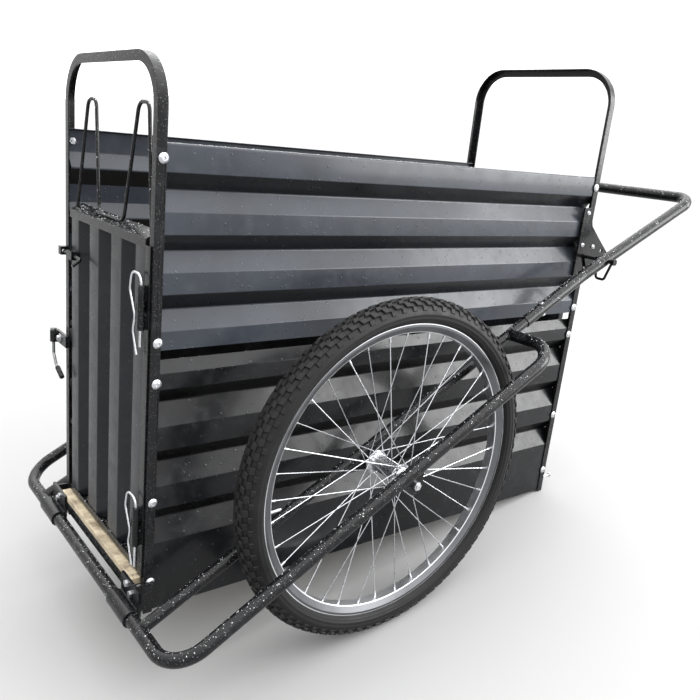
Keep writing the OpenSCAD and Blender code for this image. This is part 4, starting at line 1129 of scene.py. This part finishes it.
class CART_OT_sheets(bpy.types.Operator):
    """Builds the ribbed side panels and both gate sheets with rounded folds"""

    bl_idname = "cart.sheets"
    bl_label = "Sheet panels and gates"

    def execute(self, context):
        side_panels()
        gate_sheets()
        return {"FINISHED"}


class CART_OT_steel(bpy.types.Operator):
    """Finishes the tubes, frames, plates and brackets in black powder coat"""

    bl_idname = "cart.steel"
    bl_label = "Black steelwork"

    def execute(self, context):
        paint(nodes_of("black_steel"), finish("black tube coat"))
        soften(["front_frame", "rear_frame", "axle_plates_near", "axle_plates_far",
                "floor_end_lips", "floor_side_angles", "pivot_brackets", "hinge_strips",
                "gusset_near", "gusset_far", "latch_brackets", "bolt_keepers",
                "front_gate_rails", "rear_gate_rails", "front_bolt_guide", "rear_bolt_guide",
                "pivot_sleeves"], context.scene.cart_shapes.edge)
        return {"FINISHED"}


class CART_OT_fittings(bpy.types.Operator):
    """Finishes bolts, pins, hooks and hinge leaves in zinc, and builds the socket bolts"""

    bl_idname = "cart.fittings"
    bl_label = "Bolts, pins and hooks"

    def execute(self, context):
        paint(nodes_of("zinc"), finish("bright zinc"))
        paint(nodes_of("dark_zinc"), finish("dull zinc"))
        soften(["handle_bolts", "axle_nuts", "axles", "bracket_bolts", "panel_nuts",
                "front_hinge_leaves", "rear_hinge_leaves"], context.scene.cart_shapes.edge * 0.6)
        socket_bolts()
        hook_sleeves()
        return {"FINISHED"}


class CART_OT_wheels(bpy.types.Operator):
    """Builds the treaded tyres and turned hubs, and finishes rims and spokes"""

    bl_idname = "cart.wheels"
    bl_label = "Wheels"

    def execute(self, context):
        for side in SIDES:
            paint(["rim_" + side], finish("rim alloy"))
            paint(["spokes_" + side, "nipples_" + side, "valve_" + side],
                  finish("bright spoke steel"))
        tyres()
        hubs()
        return {"FINISHED"}


class CART_OT_board(bpy.types.Operator):
    """Finishes the plywood floor board"""

    bl_idname = "cart.board"
    bl_label = "Floor board"

    def execute(self, context):
        paint(["floor_board"], finish("wet plywood"))
        soften(["floor_board"], 0.8 * MM)
        return {"FINISHED"}


class CART_OT_welds(bpy.types.Operator):
    """Lays the weld beads where tubes, plates and sleeves meet"""

    bl_idname = "cart.welds"
    bl_label = "Weld beads"

    def execute(self, context):
        weld_beads()
        return {"FINISHED"}


class CART_OT_water(bpy.types.Operator):
    """Scatters water drops over tubes, frames, the front gate's top and the panels' level faces"""

    bl_idname = "cart.water"
    bl_label = "Water drops"

    def execute(self, context):
        water_drops()
        return {"FINISHED"}


class CART_OT_stage(bpy.types.Operator):
    """Sets out the studio floor, the soft lights and the camera"""

    bl_idname = "cart.stage"
    bl_label = "Studio"

    def execute(self, context):
        stage = context.scene.cart_stage
        studio_floor()
        surround(stage)
        key_lamp(stage)
        set_camera(stage)
        context.scene.view_settings.view_transform = "Standard"
        return {"FINISHED"}


OPERATORS = (CART_OT_sheets, CART_OT_steel, CART_OT_fittings, CART_OT_wheels, CART_OT_board,
             CART_OT_welds, CART_OT_water, CART_OT_stage)


class CART_PT_sidebar(bpy.types.Panel):
    """Lists the steps that build the cart's looks"""

    bl_label = "Garden cart"
    bl_idname = "CART_PT_sidebar"
    bl_space_type = "VIEW_3D"
    bl_region_type = "UI"
    bl_category = "Cart"

    def draw(self, context):
        for group in (context.scene.cart_finishes, context.scene.cart_shapes,
                      context.scene.cart_stage):
            box = self.layout.box()
            for prop in group.__annotations__:
                box.prop(group, prop)
        for step in OPERATORS:
            self.layout.operator(step.bl_idname)


CLASSES = (CartFinishes, CartShapes, CartStage) + OPERATORS + (CART_PT_sidebar,)


def register():
    for made in CLASSES:
        bpy.utils.register_class(made)
    bpy.types.Scene.cart_finishes = bpy.props.PointerProperty(type=CartFinishes)
    bpy.types.Scene.cart_shapes = bpy.props.PointerProperty(type=CartShapes)
    bpy.types.Scene.cart_stage = bpy.props.PointerProperty(type=CartStage)


def unregister():
    del bpy.types.Scene.cart_stage
    del bpy.types.Scene.cart_shapes
    del bpy.types.Scene.cart_finishes
    for made in reversed(CLASSES):
        bpy.utils.unregister_class(made)


def main():
    register()
    bpy.ops.cart.sheets()
    bpy.ops.cart.steel()
    bpy.ops.cart.fittings()
    bpy.ops.cart.wheels()
    bpy.ops.cart.board()
    bpy.ops.cart.welds()
    bpy.ops.cart.water()
    bpy.ops.cart.stage()


if __name__ == "__main__":
    main()
